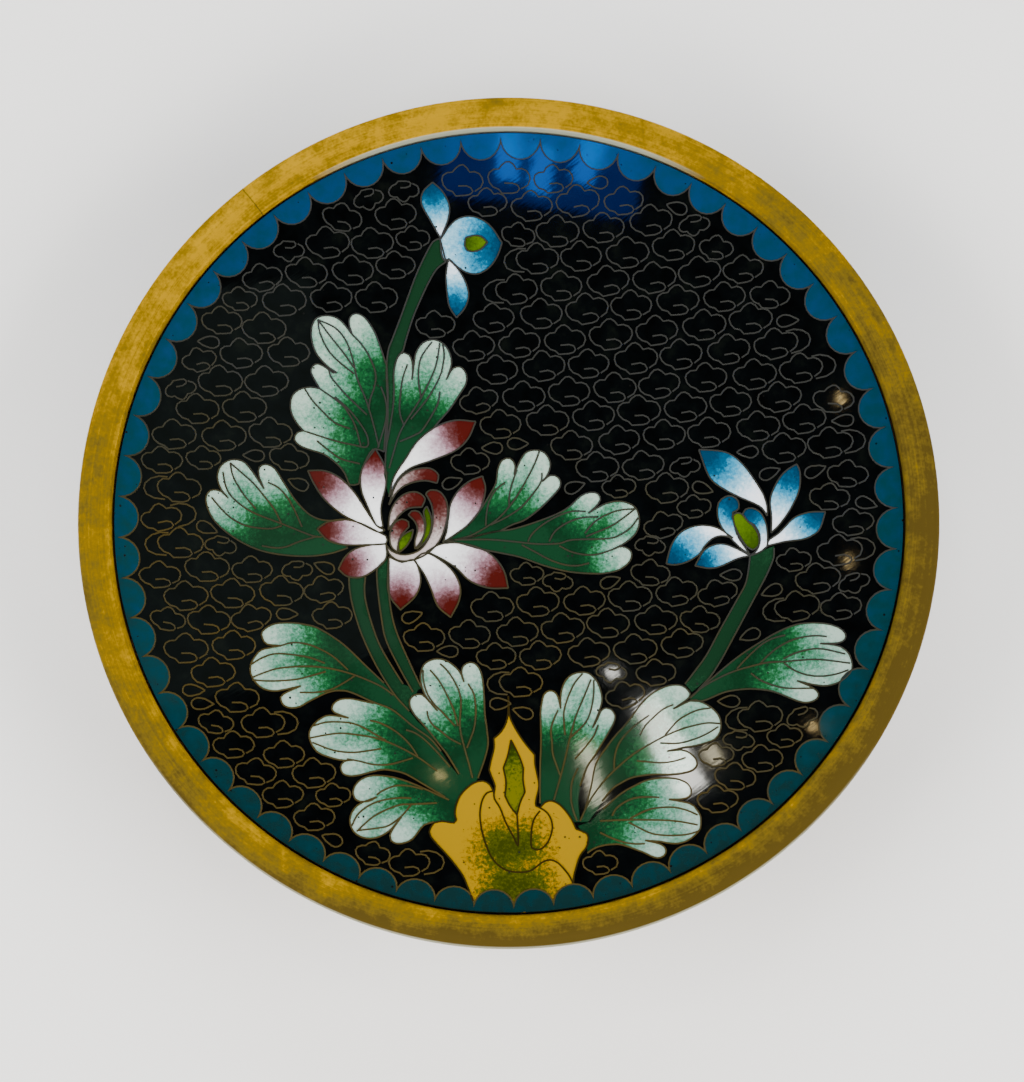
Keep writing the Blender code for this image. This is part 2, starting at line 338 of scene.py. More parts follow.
brass = aged_brass(
    "brass",
    [
        (0.28, (0.50, 0.28, 0.0006)), (0.45, (0.26, 0.150, 0.002)), (0.60, (0.165, 0.112, 0.012)),
        (0.76, (0.092, 0.062, 0.011)),
    ],
    9000.0,
)
rim_band = turned_piece("brass_rim", rim_section, RIM_TURNS, brass)
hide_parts("rim_band")

# Brass foot ring. A low splayed ring, turned from the same brass as the rim and soldered under the bowl. The
# dish stands on it.
FOOT_WALL = 0.0020
FOOT_SPLAY = 0.0006
FOOT_EDGE_ROUND = 0.0003

foot_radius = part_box("foot_ring")[1].x
foot_inner = foot_radius - FOOT_WALL
foot_seat = copper_face + COPPER_THICKNESS + JOINT
foot_section = [
    (foot_inner, bowl_height(foot_seat, foot_inner)),
    (foot_radius - FOOT_SPLAY, bowl_height(foot_seat, foot_radius - FOOT_SPLAY)),
    (foot_radius - FOOT_SPLAY / 2, bowl_height(foot_seat, foot_radius) / 2),
    *rounded_corner((foot_radius - FOOT_EDGE_ROUND, FOOT_EDGE_ROUND), FOOT_EDGE_ROUND, 0, -90),
    *rounded_corner((foot_inner + FOOT_EDGE_ROUND, FOOT_EDGE_ROUND), FOOT_EDGE_ROUND, -90, -90),
]
foot_ring = turned_piece("brass_foot", foot_section, RIM_TURNS // 2, brass)
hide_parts("foot_ring")

# Black enamel ground inside the bowl and outside it, and blue enamel inside the foot. It is glass fused to
# the copper and polished down to the wires, with the faint waves and fine pits that polishing leaves.
LAYER_STEP = 0.0016
WAVE_HEIGHT = 0.00003


def enamel_surface_group():
    """What all the fired glass has in common: slow waves left by polishing, and small dark pits."""
    tree = bpy.data.node_groups.new("enamel_surface", "ShaderNodeTree")
    tree.interface.new_socket("Pit Share", in_out="INPUT", socket_type="NodeSocketFloat")
    tree.interface.new_socket("Pits", in_out="OUTPUT", socket_type="NodeSocketFloat")
    tree.interface.new_socket("Height", in_out="OUTPUT", socket_type="NodeSocketFloat")
    ends = add_node(tree, "NodeGroupInput")
    place = object_place(tree)
    bubbles = add_node(tree, "ShaderNodeTexVoronoi", {"Vector": place, "Scale": 1500.0})
    chosen = add_node(tree, "ShaderNodeSeparateColor", {0: bubbles.outputs["Color"]})
    size = add_math(tree, "MULTIPLY", chosen.outputs[1], 0.25)
    inside = add_math(tree, "LESS_THAN", bubbles.outputs["Distance"], size)
    picked = add_math(tree, "LESS_THAN", chosen.outputs[0], ends.outputs["Pit Share"])
    pits = add_math(tree, "MULTIPLY", inside, picked)
    waves = add_noise(tree, place, 90.0, 1.0)
    fine = add_math(tree, "MULTIPLY", add_noise(tree, place, 700.0, 1.0), 0.05)
    stroke = add_node(
        tree, "ShaderNodeMapping", {0: place, "Rotation": (0, 0, 0.6), "Scale": (1.0, 0.1, 1.0)},
        vector_type="TEXTURE",
    )
    scratches = add_math(tree, "MULTIPLY", add_noise(tree, stroke.outputs[0], 240.0, 2.0), 0.07)
    waves = add_math(tree, "ADD", add_math(tree, "ADD", waves, fine), scratches)
    height = add_math(tree, "SUBTRACT", waves, add_math(tree, "MULTIPLY", pits, 0.6))
    add_node(tree, "NodeGroupOutput", {"Pits": pits, "Height": height})
    return tree


enamel_surface = enamel_surface_group()


def lay_glass(tree, shader, colour, pit_share, pit_colour):
    """Gives a material the surface of fired glass, over a colour."""
    surface = add_node(tree, "ShaderNodeGroup", node_tree=enamel_surface)
    surface.inputs["Pit Share"].default_value = pit_share
    pitted = add_node(tree, "ShaderNodeMix", {"Factor": surface.outputs["Pits"]}, data_type="RGBA")
    tree.links.new(colour, pitted.inputs[6])
    pitted.inputs[7].default_value = (*pit_colour, 1.0)
    tree.links.new(pitted.outputs[2], shader.inputs["Base Color"])
    bump = add_node(tree, "ShaderNodeBump", {"Height": surface.outputs["Height"], "Distance": WAVE_HEIGHT})
    tree.links.new(bump.outputs[0], shader.inputs["Normal"])


def fired_enamel(name, colour_stops, roughness, pit_share, mottle_scale=300.0, painted_tint_across_dish=0.0):
    """Opaque pitted glass whose colour drifts between the stops, with a painted reflection shifting it across
    the dish from near to far.
    """
    material, tree, shader = new_material(name, colour_stops[0][1], roughness)
    place = object_place(tree)
    split = add_node(tree, "ShaderNodeSeparateXYZ", {0: place})
    # Painted reflection: the colour shifts along the dish from near to far.
    painted_far_tint = add_math(tree, "MULTIPLY", split.outputs[1], painted_tint_across_dish)
    drift_and_painted_tint = add_math(tree, "ADD", add_noise(tree, place, mottle_scale, 5.0, 0.6), painted_far_tint)
    colour = add_ramp(tree, drift_and_painted_tint, *colour_stops)
    lay_glass(tree, shader, colour, pit_share, (0.003, 0.003, 0.003))
    return material


def enamel_layer(name, face, back, inner, outer, turns, material):
    """A turned layer of glass between two of the bowl's spheres and two distances from the axis."""
    steps = max(2, round((outer - inner) / LAYER_STEP))
    radii = [inner + (outer - inner) * step / steps for step in range(steps + 1)]
    section = [(radius, bowl_height(face, radius)) for radius in radii]
    section += [(radius, bowl_height(back, radius)) for radius in reversed(radii)]
    return turned_piece(name, section, turns, material)


black_glass = fired_enamel(
    "black_enamel",
    [(0.35, (0.0002, 0.0003, 0.0003)), (0.55, (0.0006, 0.0010, 0.0012)), (0.7, (0.0020, 0.0028, 0.0022))],
    0.05,
    0.02,
)
# Turquoise, with a painted reflection that makes it tealer on the near side and bluer on the far side.
blue_glass = fired_enamel(
    "turquoise_enamel",
    [
        (0.05, (0.0028, 0.0165, 0.0175)), (0.38, (0.0008, 0.023, 0.031)),
        (0.60, (0.0004, 0.024, 0.045)), (0.95, (0.0003, 0.025, 0.075)),
    ],
    0.07,
    0.10,
    600.0,
    8.0,
)

enamel_edge = rim_inner - LIP_TAPER - JOINT
ground = enamel_layer(
    "black_ground", ground_face, ground_face + ENAMEL_THICKNESS, 0.0, enamel_edge, 192, black_glass
)
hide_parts("ground_enamel")
outer_black = enamel_layer(
    "outer_black", outer_face, outer_face - ENAMEL_THICKNESS, foot_radius + JOINT, rim_inner - LIP_TAPER, 128,
    black_glass,
)
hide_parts("outer_enamel")
base_blue = enamel_layer(
    "base_blue", outer_face, outer_face - ENAMEL_THICKNESS, 0.0, foot_inner - JOINT, 96, blue_glass
)
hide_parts("base_enamel")

# Turquoise border. Sixty half circles of blue glass bulge towards the middle all round the edge. A brass wire
# stands along them, between the blue and the black. It was bent by eye, so the scallops drift a little.
SCALLOPS = 60
SCALLOP_PHASE = math.radians(1.6)
DRIFT_ONCE = (0.24, -1.06)
DRIFT_TWICE = (0.55, 0.61)
BORDER_MARGIN = 0.0005
MARGIN_DRIFT = 0.0001
FULLNESS_DRIFT = 0.06
LOBE_STEPS = 11
LOBE_ROUNDNESS = 0.95
BORDER_LIFT = 0.00012
CELL_DEPTH = 0.0003
WIRE_WIDTH = 0.00022
WIRE_LIFT = 0.00015
WIRE_KEEL = 0.0004


def on_bowl(place, lift=0.0):
    """The point of the bowl's inner face at a place in plan, or above it."""
    sphere = ground_face - lift
    return (place[0], place[1], curve_centre - math.sqrt(sphere**2 - place[0] ** 2 - place[1] ** 2))


def cusp(number):
    """Place in plan of one cusp, a little off an even ring. The drifts are in degrees."""
    even = math.tau * number / SCALLOPS
    once = DRIFT_ONCE[0] * math.sin(even) + DRIFT_ONCE[1] * math.cos(even)
    twice = DRIFT_TWICE[0] * math.sin(2 * even) + DRIFT_TWICE[1] * math.cos(2 * even)
    angle = SCALLOP_PHASE + even + math.radians(once + twice)
    reach = enamel_edge - BORDER_MARGIN - MARGIN_DRIFT * math.cos(even)
    return Vector((math.cos(angle), math.sin(angle))) * reach


def scalloped_line():
    """Plan points of the scalloped line, lobe after lobe, each lobe starting at a cusp."""
    points = []
    for lobe in range(SCALLOPS):
        middle = (cusp(lobe) + cusp(lobe + 1)) / 2
        half = cusp(lobe + 1) - middle
        fullness = LOBE_ROUNDNESS * (1 + FULLNESS_DRIFT * math.cos(math.tau * lobe / SCALLOPS - 1.0))
        inward = middle.normalized() * -half.length * fullness
        for part in range(LOBE_STEPS):
            turn = math.pi * part / LOBE_STEPS
            points.append(middle - half * math.cos(turn) + inward * math.sin(turn))
    return points


def glass_sheet(name, places, faces, lift, material, fade=None):
    """A thin sheet of glass let into the bowl, from points in plan and the faces between them."""
    mesh = bpy.data.meshes.new(name)
    mesh.from_pydata([on_bowl(place, lift) for place in places], [], faces)
    sheet = bpy.data.objects.new(name, mesh)
    bpy.context.collection.objects.link(sheet)
    if fade:
        mesh.attributes.new("fade", "FLOAT", "POINT").data.foreach_set("value", fade)
    mesh.materials.append(material)
    bpy.ops.object.select_all(action="DESELECT")
    sheet.select_set(True)
    bpy.context.view_layer.objects.active = sheet
    bpy.ops.object.mode_set(mode="EDIT")
    bpy.ops.mesh.select_all(action="SELECT")
    bpy.ops.mesh.normals_make_consistent(inside=False)
    bpy.ops.object.mode_set(mode="OBJECT")
    if mesh.polygons[0].normal.z < 0:
        mesh.flip_normals()
    thickness = sheet.modifiers.new("thickness", "SOLIDIFY")
    thickness.thickness = CELL_DEPTH
    thickness.offset = -1
    bpy.ops.object.modifier_apply(modifier=thickness.name)
    bpy.ops.object.shade_smooth_by_angle(angle=math.radians(30))
    return sheet


def wire_profile(facing=1):
    """Section of the wires: a flat polished top, facing up or down, and a keel that goes into the glass."""
    bpy.ops.curve.primitive_bezier_circle_add()
    profile = bpy.context.object
    profile.name = "wire_section"
    profile.data.splines.clear()
    spline = profile.data.splines.new("POLY")
    spline.points.add(2)
    corners = [(-WIRE_WIDTH / 2, 0), (WIRE_WIDTH / 2, 0), (0, -WIRE_KEEL)]
    for point, (across, up) in zip(spline.points, corners):
        point.co = (facing * across, facing * up, 0, 1)
    spline.use_cyclic_u = True
    return profile


wire_section = wire_profile()


def wires(name, lines, material, closed=False, raised=on_bowl):
    """Brass wires standing in the glass along lines in plan."""
    bpy.ops.curve.primitive_bezier_curve_add()
    piece = bpy.context.object
    piece.name = name
    curve = piece.data
    curve.splines.clear()
    curve.twist_mode = "Z_UP"
    curve.bevel_mode = "OBJECT"
    curve.bevel_object = wire_section
    curve.use_fill_caps = True
    for line in lines:
        spline = curve.splines.new("POLY")
        spline.points.add(len(line) - 1)
        spline.use_cyclic_u = closed
        spline.use_smooth = False
        for point, place in zip(spline.points, line):
            point.co = (*raised(place, WIRE_LIFT), 1)
    bpy.ops.object.convert(target="MESH")
    piece = bpy.context.object
    piece.data.materials.clear()
    piece.data.materials.append(material)
    place_piece(piece)
    return piece


def wire_brass():
    """Brass of the wires: polished with the glass and gone grey-brown, with a painted reflection that makes
    them yellower towards the near left.
    """
    material, tree, shader = new_material("wire_brass", (0.038, 0.035, 0.020), 0.45, 0.3)
    place = object_place(tree)
    split = add_node(tree, "ShaderNodeSeparateXYZ", {0: place})
    # Painted reflection: the wires lighter and yellower towards the near left.
    lower_lit = add_math(tree, "MULTIPLY", split.outputs[1], -14.0)
    left_lit = add_math(tree, "MULTIPLY", split.outputs[0], -5.0)
    patches = add_noise(tree, place, 120.0, 3.0, 0.6)
    patches_and_light = add_math(tree, "ADD", add_math(tree, "ADD", lower_lit, left_lit), patches)
    tones = (0.25, (0.026, 0.027, 0.025)), (0.6, (0.029, 0.027, 0.015)), (1.0, (0.050, 0.036, 0.009))
    colour = add_ramp(tree, patches_and_light, *tones)
    tree.links.new(colour, shader.inputs["Base Color"])
    return material


scallops = scalloped_line()
band = []
for share in (0.0, 0.33, 0.66, 1.0):
    band += [place.lerp(place.normalized() * enamel_edge, share) for place in scallops]
count = len(scallops)
band_faces = [
    (ring * count + step, ring * count + (step + 1) % count,
     (ring + 1) * count + (step + 1) % count, (ring + 1) * count + step)
    for ring in range(3) for step in range(count)
]
border = glass_sheet("blue_border", band, band_faces, BORDER_LIFT, blue_glass)
place_piece(border)
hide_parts("border_enamel")
brass_wire = wire_brass()
scallop_wire = wires("scallop_wire", [scallops], brass_wire, closed=True)
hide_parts("border_wire")

# Plants. Flowers, stems and leaves lie in the glass as cells with a wire round each. Their colours run into
# each other from the tips inwards, where the ground glasses were laid side by side before firing.
CELL_GRID = 0.0009
CELL_LIFT = 0.00004
NEXT_CELL_LIFT = 0.0000012
RUN_STEP = 0.0005

focal = LENS / SENSOR * PHOTO_HEIGHT
centre_of_curve = Vector((0, 0, curve_centre))


def under_pixel(pixel):
    """The place in plan where a pixel of the photograph meets the bowl's inner face."""
    across, down = (pixel[0] - PHOTO_WIDTH / 2) / focal, (pixel[1] - PHOTO_HEIGHT / 2) / focal
    ray = (view_forward + view_right * across - view_up * down).normalized()
    back = view_from - centre_of_curve
    toward = ray.dot(back)
    reach = -toward + math.sqrt(toward**2 - back.length_squared + ground_face**2)
    met = view_from + ray * reach
    return Vector((met.x, met.y))


def smooth_line(points):
    """A smooth line in plan through a few points (Catmull-Rom)."""
    if len(points) == 2:
        return list(points)
    ends = [points[0] * 2 - points[1], *points, points[-1] * 2 - points[-2]]
    line = []
    for before, start, end, after in zip(ends, ends[1:], ends[2:], ends[3:]):
        parts = max(1, round((end - start).length / RUN_STEP))
        for part in range(parts):
            t = part / parts
            line.append(
                (start * 2 + (end - before) * t + (before * 2 - start * 5 + end * 4 - after) * t**2
                 + (start * 3 - before - end * 3 + after) * t**3) / 2
            )
    line.append(points[-1])
    return line


def run_line(pixels):
    return smooth_line([under_pixel(pixel) for pixel in pixels])


def cell(name, outline, tips, reach, material):
    """A cell of glass that fills an outline in plan. Its fade runs from 0 at its tips to 1 at their reach."""
    xs, ys = [place.x for place in outline], [place.y for place in outline]
    columns = np.arange(min(xs), max(xs), CELL_GRID)
    rows = np.arange(min(ys), max(ys), CELL_GRID)
    inner = [Vector((x, y)) for x in columns for y in rows]
    places, _, faces, *_ = geometry.delaunay_2d_cdt(
        outline + inner, [], [list(range(len(outline)))], 1, 1e-6
    )
    fade = [min((place - tip).length for tip in tips) / reach for place in places]
    lift = CELL_LIFT + NEXT_CELL_LIFT * len(plant_outlines)
    return glass_sheet(name, places, faces, lift, material, fade)


plant_outlines = []


def plant(name, cells, veins=(), wire=brass_wire):
    """Cells and their wires, as one piece of glass and one of wire. All places are pixels of the photograph.
    A cell is its material, its tips, how far its colours reach from them, its outline as smooth runs that
    each carry a wire, and points that close it unseen."""
    sheets = []
    lines = [run_line(vein) for vein in veins]
    for number, (material, tips, reach, runs, closing) in enumerate(cells):
        shown = [run_line(run) for run in runs]
        outline = [place for line in shown for place in line[:-1]]
        outline += [under_pixel(pixel) for pixel in [runs[-1][-1], *closing]]
        if (outline[0] - outline[-1]).length < RUN_STEP / 4:
            outline.pop()
        places = [under_pixel(tip) for tip in tips]
        sheets.append(cell(f"{name}_{number}", outline, places, reach / focal * VIEW_DISTANCE, material))
        plant_outlines.append(outline)
        lines += shown
    bpy.ops.object.select_all(action="DESELECT")
    for sheet in sheets:
        sheet.select_set(True)
    bpy.context.view_layer.objects.active = sheets[0]
    if len(sheets) > 1:
        bpy.ops.object.join()
    piece = bpy.context.object
    piece.name = name
    place_piece(piece)
    wires(f"{name}_wires", lines, wire)


def shaded_glass(name, stops, clouding, speckle, pit_share, roughness=0.06):
    """Glass whose colour changes from the tips of its cells inwards, grains of one mixed into the next."""
    material, tree, shader = new_material(name, stops[0][1], roughness)
    place = object_place(tree)
    fade = add_node(tree, "ShaderNodeAttribute", attribute_name="fade").outputs["Fac"]
    clouds = add_math(tree, "MULTIPLY", add_noise(tree, place, 260.0, 2.0), clouding)
    grains = add_math(tree, "MULTIPLY", add_noise(tree, place, 2300.0, 3.0, 0.7), speckle)
    mixed = add_math(tree, "ADD", add_math(tree, "ADD", clouds, grains), fade)
    colour = add_ramp(tree, add_math(tree, "SUBTRACT", mixed, (clouding + speckle) / 2), *stops)
    lay_glass(tree, shader, colour, pit_share, (0.01, 0.012, 0.01))
    return material


# Flowers. Three of them: a small blue one at the top, a large pink one left of the middle with curled petals
# round its green heart, and a blue one at the right.
blue_petal = shaded_glass(
    "blue_petal",
    [
        (0.12, (0.0003, 0.026, 0.062)), (0.32, (0.0012, 0.060, 0.130)), (0.46, (0.018, 0.20, 0.35)),
        (0.66, (0.20, 0.42, 0.56)), (0.84, (0.60, 0.70, 0.82)), (1.0, (0.74, 0.78, 0.85)),
    ],
    0.24,
    0.45,
    0.10,
)
pink_petal = shaded_glass(
    "pink_petal",
    [
        (0.18, (0.042, 0.0040, 0.0030)), (0.30, (0.072, 0.026, 0.028)), (0.42, (0.18, 0.100, 0.125)),
        (0.58, (0.38, 0.30, 0.35)), (0.76, (0.62, 0.62, 0.65)), (1.0, (0.78, 0.80, 0.82)),
    ],
    0.22,
    0.36,
    0.22,
)
pink_curl = shaded_glass(
    "pink_curl",
    [
        (0.20, (0.042, 0.005, 0.004)), (0.36, (0.065, 0.024, 0.022)), (0.55, (0.15, 0.10, 0.10)),
        (0.80, (0.38, 0.33, 0.32)),
    ],
    0.30,
    0.60,
    0.25,
)
flower_heart = shaded_glass(
    "flower_heart", [(0.2, (0.020, 0.045, 0.0005)), (0.8, (0.050, 0.100, 0.0006))], 0.30, 1.0, 0.10
)
stem_glass = shaded_glass(
    "stem_glass", [(0.3, (0.0035, 0.020, 0.008)), (0.8, (0.0070, 0.040, 0.016))], 0.40, 0.90, 0.10
)
leaf_glass = shaded_glass(
    "leaf_glass",
    [
        (0.08, (0.27, 0.38, 0.32)), (0.24, (0.13, 0.26, 0.20)), (0.37, (0.040, 0.155, 0.095)),
        (0.48, (0.008, 0.070, 0.020)), (0.60, (0.0035, 0.032, 0.011)), (0.78, (0.0020, 0.017, 0.006)),
        (0.98, (0.0035, 0.026, 0.010)),
    ],
    0.30,
    0.60,
    0.25,
)

top_stem_cells = [
    (stem_glass, [(415, 300)], 200, [
        [(386, 450), (388, 412), (386.5, 375), (388, 352), (392.5, 339), (399, 322), (407, 300), (415, 278),
         (424, 258), (433, 242), (440, 239)],
        [(440, 239), (443, 250), (446, 262)],
        [(446, 262), (437, 269), (429, 282), (421, 299), (413, 318), (406, 340), (403, 351), (397.5, 358),
         (394, 372), (394, 391), (393, 408), (389, 433)],
    ], [(386, 450)]),
]
plant("top_stem", top_stem_cells)
top_flower_cells = [
    (blue_petal, [(432.5, 182.5)], 60, [
        [(440.5, 238.5), (430, 220), (421.5, 204), (423, 192), (432.5, 182.5)],
        [(432.5, 182.5), (442, 191), (449, 205), (448, 220), (440.5, 238.5)],
    ], []),
    (blue_petal, [(508, 246)], 96, [
        [(440.5, 240), (449, 227), (458, 219), (470, 216.5), (482, 220), (492, 228), (502, 243)],
        [(502, 243), (498, 255), (490, 267), (478, 274), (466, 272.5), (455, 265), (449, 259), (444.5, 261),
         (441.5, 254), (440.5, 240)],
    ], []),
    (blue_petal, [(456.5, 318)], 60, [
        [(448.5, 259.5), (446, 275), (447, 292), (449.5, 307), (456.5, 318)],
        [(456.5, 318), (465, 308), (468.5, 295), (465, 281), (457, 268), (448.5, 259.5)],
    ], []),
]
plant("top_flower", top_flower_cells)
top_heart_cells = [
    (flower_heart, [(466, 244)], 22, [
        [(467, 250.8), (464.5, 246), (465.5, 238)],
        [(465.5, 238), (473, 235.8), (481, 236.5), (487.5, 242.5)],
        [(487.5, 242.5), (481, 249.5), (473, 252), (467, 250.8)],
    ], []),
]
plant("top_heart", top_heart_cells)
pink_stems_cells = [
    (stem_glass, [(360, 640)], 200, [
        [(349, 577.5), (349.5, 588), (352, 603), (357, 621), (364, 640), (377, 667), (394, 694), (409, 711)],
    ], [(418, 690), (402.5, 684), (393.5, 669), (385, 655), (377.5, 640), (370, 618), (365.5, 600),
        (365.5, 577)]),
    (stem_glass, [(390, 640)], 200, [
        [(385.5, 560), (377.5, 568.3), (377, 578), (378, 592), (381, 615), (386, 640), (400, 669),
         (413, 692)],
    ], [(422, 688), (412.5, 669), (400, 641), (393, 620), (390.5, 607), (389.5, 590), (389, 558)]),
]
pink_stems_veins = [
    [(365.5, 577), (364.5, 588), (365.5, 600), (370, 618), (377.5, 640), (385, 655), (393.5, 669),
     (403, 684)],
    [(389, 560), (389, 590), (390.5, 607), (394, 624), (400, 641), (412.5, 669), (421, 687)],
]
plant("pink_stems", pink_stems_cells, pink_stems_veins)
pink_flower_cells = [
    (pink_petal, [(375.5, 448)], 60, [
        [(383, 527), (376.7, 525.8), (367, 505), (361, 488), (362.5, 468), (375.5, 448.7)],
        [(375.5, 448.7), (385, 467), (386, 485), (381, 508), (383, 527)],
    ], []),
    (pink_petal, [(474, 428)], 78, [
        [(389, 497), (394, 477.5), (405, 460), (418, 441), (436, 427), (455, 420.5), (475.8, 421.7)],
        [(475.8, 421.7), (468, 439), (455, 451), (432, 460.5), (411, 468), (398, 479), (389, 497)],
    ], []),
    (pink_petal, [(482, 480)], 68, [
        [(443, 542.5), (446.5, 532), (448.5, 518), (451, 503), (459, 490), (470, 481), (482.5, 476.3)],
        [(482.5, 476.3), (485.5, 490), (480, 510), (468, 525), (456, 534), (443, 542.5)],
    ], []),
    (pink_petal, [(502, 582)], 68, [
        [(426.7, 551.7), (441, 544.3), (460, 543.3), (480, 548.5), (494, 557), (504, 571), (508.3, 588.3)],
        [(508.3, 588.3), (488, 588), (470, 581), (456, 568), (441, 558.5), (426.7, 551.7)],
    ], []),
    (pink_petal, [(452, 612)], 62, [
        [(414, 560), (424, 574), (431, 589), (438, 606.5), (450.8, 617.5)],
        [(450.8, 617.5), (459, 601), (460, 586), (453, 571.5), (440, 560), (425, 553), (414, 560)],
    ], []),
    (pink_petal, [(401, 607)], 58, [
        [(389, 557), (388, 575), (388, 590), (392, 600), (400.5, 610)],
        [(400.5, 610), (414, 598), (420, 586), (420, 574), (414.2, 560), (402, 562.5), (389, 557)],
    ], []),
    (pink_petal, [(341, 568)], 52, [
        [(386, 544), (370, 545.3), (355, 549.2), (345, 557), (338.3, 569.2)],
        [(338.3, 569.2), (347, 576.5), (360, 577.5), (372, 572), (385.8, 559), (386, 544)],
    ], []),
    (pink_petal, [(320, 530)], 62, [
        [(386, 536), (379, 532.5), (362, 524), (345, 519.7), (328, 522), (317, 529.2)],
        [(317, 529.2), (328, 540.5), (345, 545), (365, 545), (386, 543.7), (386, 536)],
    ], []),
    (pink_petal, [(312, 475)], 70, [
        [(385, 530), (376.7, 525.8), (366, 510), (354, 492), (340, 478), (325, 471), (307.8, 470.8)],
        [(307.8, 470.8), (314, 484), (325, 500), (343, 515), (362, 524.5), (379, 532.5), (385, 530)],
    ], []),
]
plant("pink_flower", pink_flower_cells)
pink_curls_cells = [
    (pink_curl, [(437, 478)], 55, [
        [(389, 505), (395, 487), (403, 476), (415, 469.5), (430, 468.5), (438.5, 475), (437, 483.3)],
        [(437, 483.3), (425, 480.8), (410, 483.5), (398, 491), (389, 505)],
    ], []),
    (pink_curl, [(434, 493)], 60, [
        [(386, 545), (389, 553.5), (398, 560.5), (412, 560.5), (427, 554), (440, 540), (447, 520), (447, 503),
         (440, 492), (430, 490.3), (425.8, 494.2)],
        [(425.8, 494.2), (431.5, 505), (433, 520), (430, 536), (420, 550), (405, 555), (393, 552),
         (386, 545)],
    ], []),
    (pink_curl, [(423, 500)], 50, [
        [(388.5, 530), (390, 514), (396, 501.5), (406, 493.5), (417, 492.3), (425, 498.5), (422, 507.3)],
        [(422, 507.3), (409, 508.5), (399, 516), (388.5, 530)],
    ], []),
    (pink_curl, [(413, 513)], 36, [
        [(415, 549), (420, 543), (424.5, 533), (424.5, 522), (419, 512), (411.5, 511.3), (408.3, 515)],
        [(408.3, 515), (415, 522), (417.5, 530), (415, 541), (415, 549)],
    ], []),
    (pink_curl, [(405, 522)], 34, [
        [(397.5, 552.5), (391, 546), (390, 533), (394.5, 523), (402, 519.3), (408.5, 522), (409, 527)],
        [(409, 527), (402, 535), (398.5, 543), (397.5, 552.5)],
    ], []),
    (flower_heart, [(427, 512)], 40, [
        [(416.7, 549.2), (424, 543), (430.5, 532), (431.5, 518), (427, 506.5)],
        [(427, 506.5), (423.5, 511.5), (425.7, 525), (422.5, 540), (416.7, 549.2)],
    ], []),
    (flower_heart, [(412, 532)], 24, [
        [(399.2, 552.5), (398.5, 543), (403.5, 535), (413.3, 529.5)],
        [(413.3, 529.5), (411.5, 538), (406, 547), (399.2, 552.5)],
    ], []),
]
plant("pink_curls", pink_curls_cells)
blue_stem_cells = [
    (stem_glass, [(730, 620)], 200, [
        [(750, 556), (748, 573), (745, 585), (738, 598), (720, 630), (706.5, 655), (695, 671), (685, 684)],
    ], [(692, 692), (710, 677), (720, 662), (747, 612), (763, 582), (768, 572), (774, 558), (774, 546)]),
]
blue_stem_veins = [
    [(774, 548), (773.5, 558), (768, 572), (763, 582), (747, 612), (731, 642), (720, 662), (710, 677),
     (698, 690)],
]
plant("blue_stem", blue_stem_cells, blue_stem_veins)
blue_flower_cells = [
    (blue_petal, [(702, 452)], 78, [
        [(698.7, 449.7), (710, 450.3), (722, 451.5), (733, 456), (744, 466), (754, 479.5), (763, 494),
         (767, 507), (767, 516)],
        [(767, 516), (762, 508.5), (755, 504), (740, 497.5), (726, 490.5), (713, 481.7), (706.5, 471.5),
         (698.7, 449.7)],
    ], []),
    (blue_petal, [(797, 466)], 66, [
        [(771, 533), (771.5, 518), (770, 502), (773, 490), (781, 476), (788.5, 469), (796.7, 464.2)],
        [(796.7, 464.2), (800, 473), (799, 490), (791, 508), (780, 524), (771, 533)],
    ], []),
    (blue_petal, [(820, 514)], 50, [
        [(767, 546), (769, 540), (779, 533), (791.5, 520), (800, 515), (812, 512), (825.3, 512)],
        [(825.3, 512), (820, 528.5), (813, 535), (803, 539.3), (785, 541.7), (767, 546)],
    ], []),
    (blue_petal, [(669, 561)], 60, [
        [(666.3, 564), (668.3, 555), (672, 544), (679, 534), (689, 528), (702, 525.5), (717, 528),
         (733, 538)],
        [(733, 538), (721, 536), (712, 539), (704, 547), (699, 554.5), (687, 562), (675, 565), (666.3, 564)],
    ], []),
    (blue_petal, [(697, 565)], 46, [
        [(695, 566), (699, 558.3), (704, 550.5), (713, 545.3), (724, 544.3), (737, 549), (750, 556)],
        [(750, 556), (738, 558.5), (722, 565.8), (710, 568.5), (695, 566)],
    ], []),
    (blue_petal, [(733, 501)], 46, [
        [(750, 555), (738, 546), (722, 528), (717.5, 515), (718.5, 503), (725, 497), (732, 496.3), (738, 501),
         (738.5, 509), (732.5, 512.5)],
        [(732.5, 512.5), (733.5, 522), (738, 537), (750, 555)],
    ], []),
    (blue_petal, [(748, 511)], 42, [
        [(742.5, 514), (745.5, 509.5), (752, 508.3), (759, 511.5), (764, 518.5), (767, 530), (767.5, 546)],
        [(767.5, 546), (760, 552), (750, 556)],
        [(750, 556), (757, 550), (760, 541), (759, 533), (754, 525), (748, 521.7), (742.5, 514)],
    ], []),
    (flower_heart, [(757, 548)], 40, [
        [(732, 516), (736.5, 513), (742, 514.5), (748, 521.7), (754, 527), (759, 537), (758.5, 546),
         (753, 550)],
        [(753, 550), (747, 547), (740, 537), (734.5, 525.5), (732, 516)],
    ], []),
]
plant("blue_flower", blue_flower_cells)

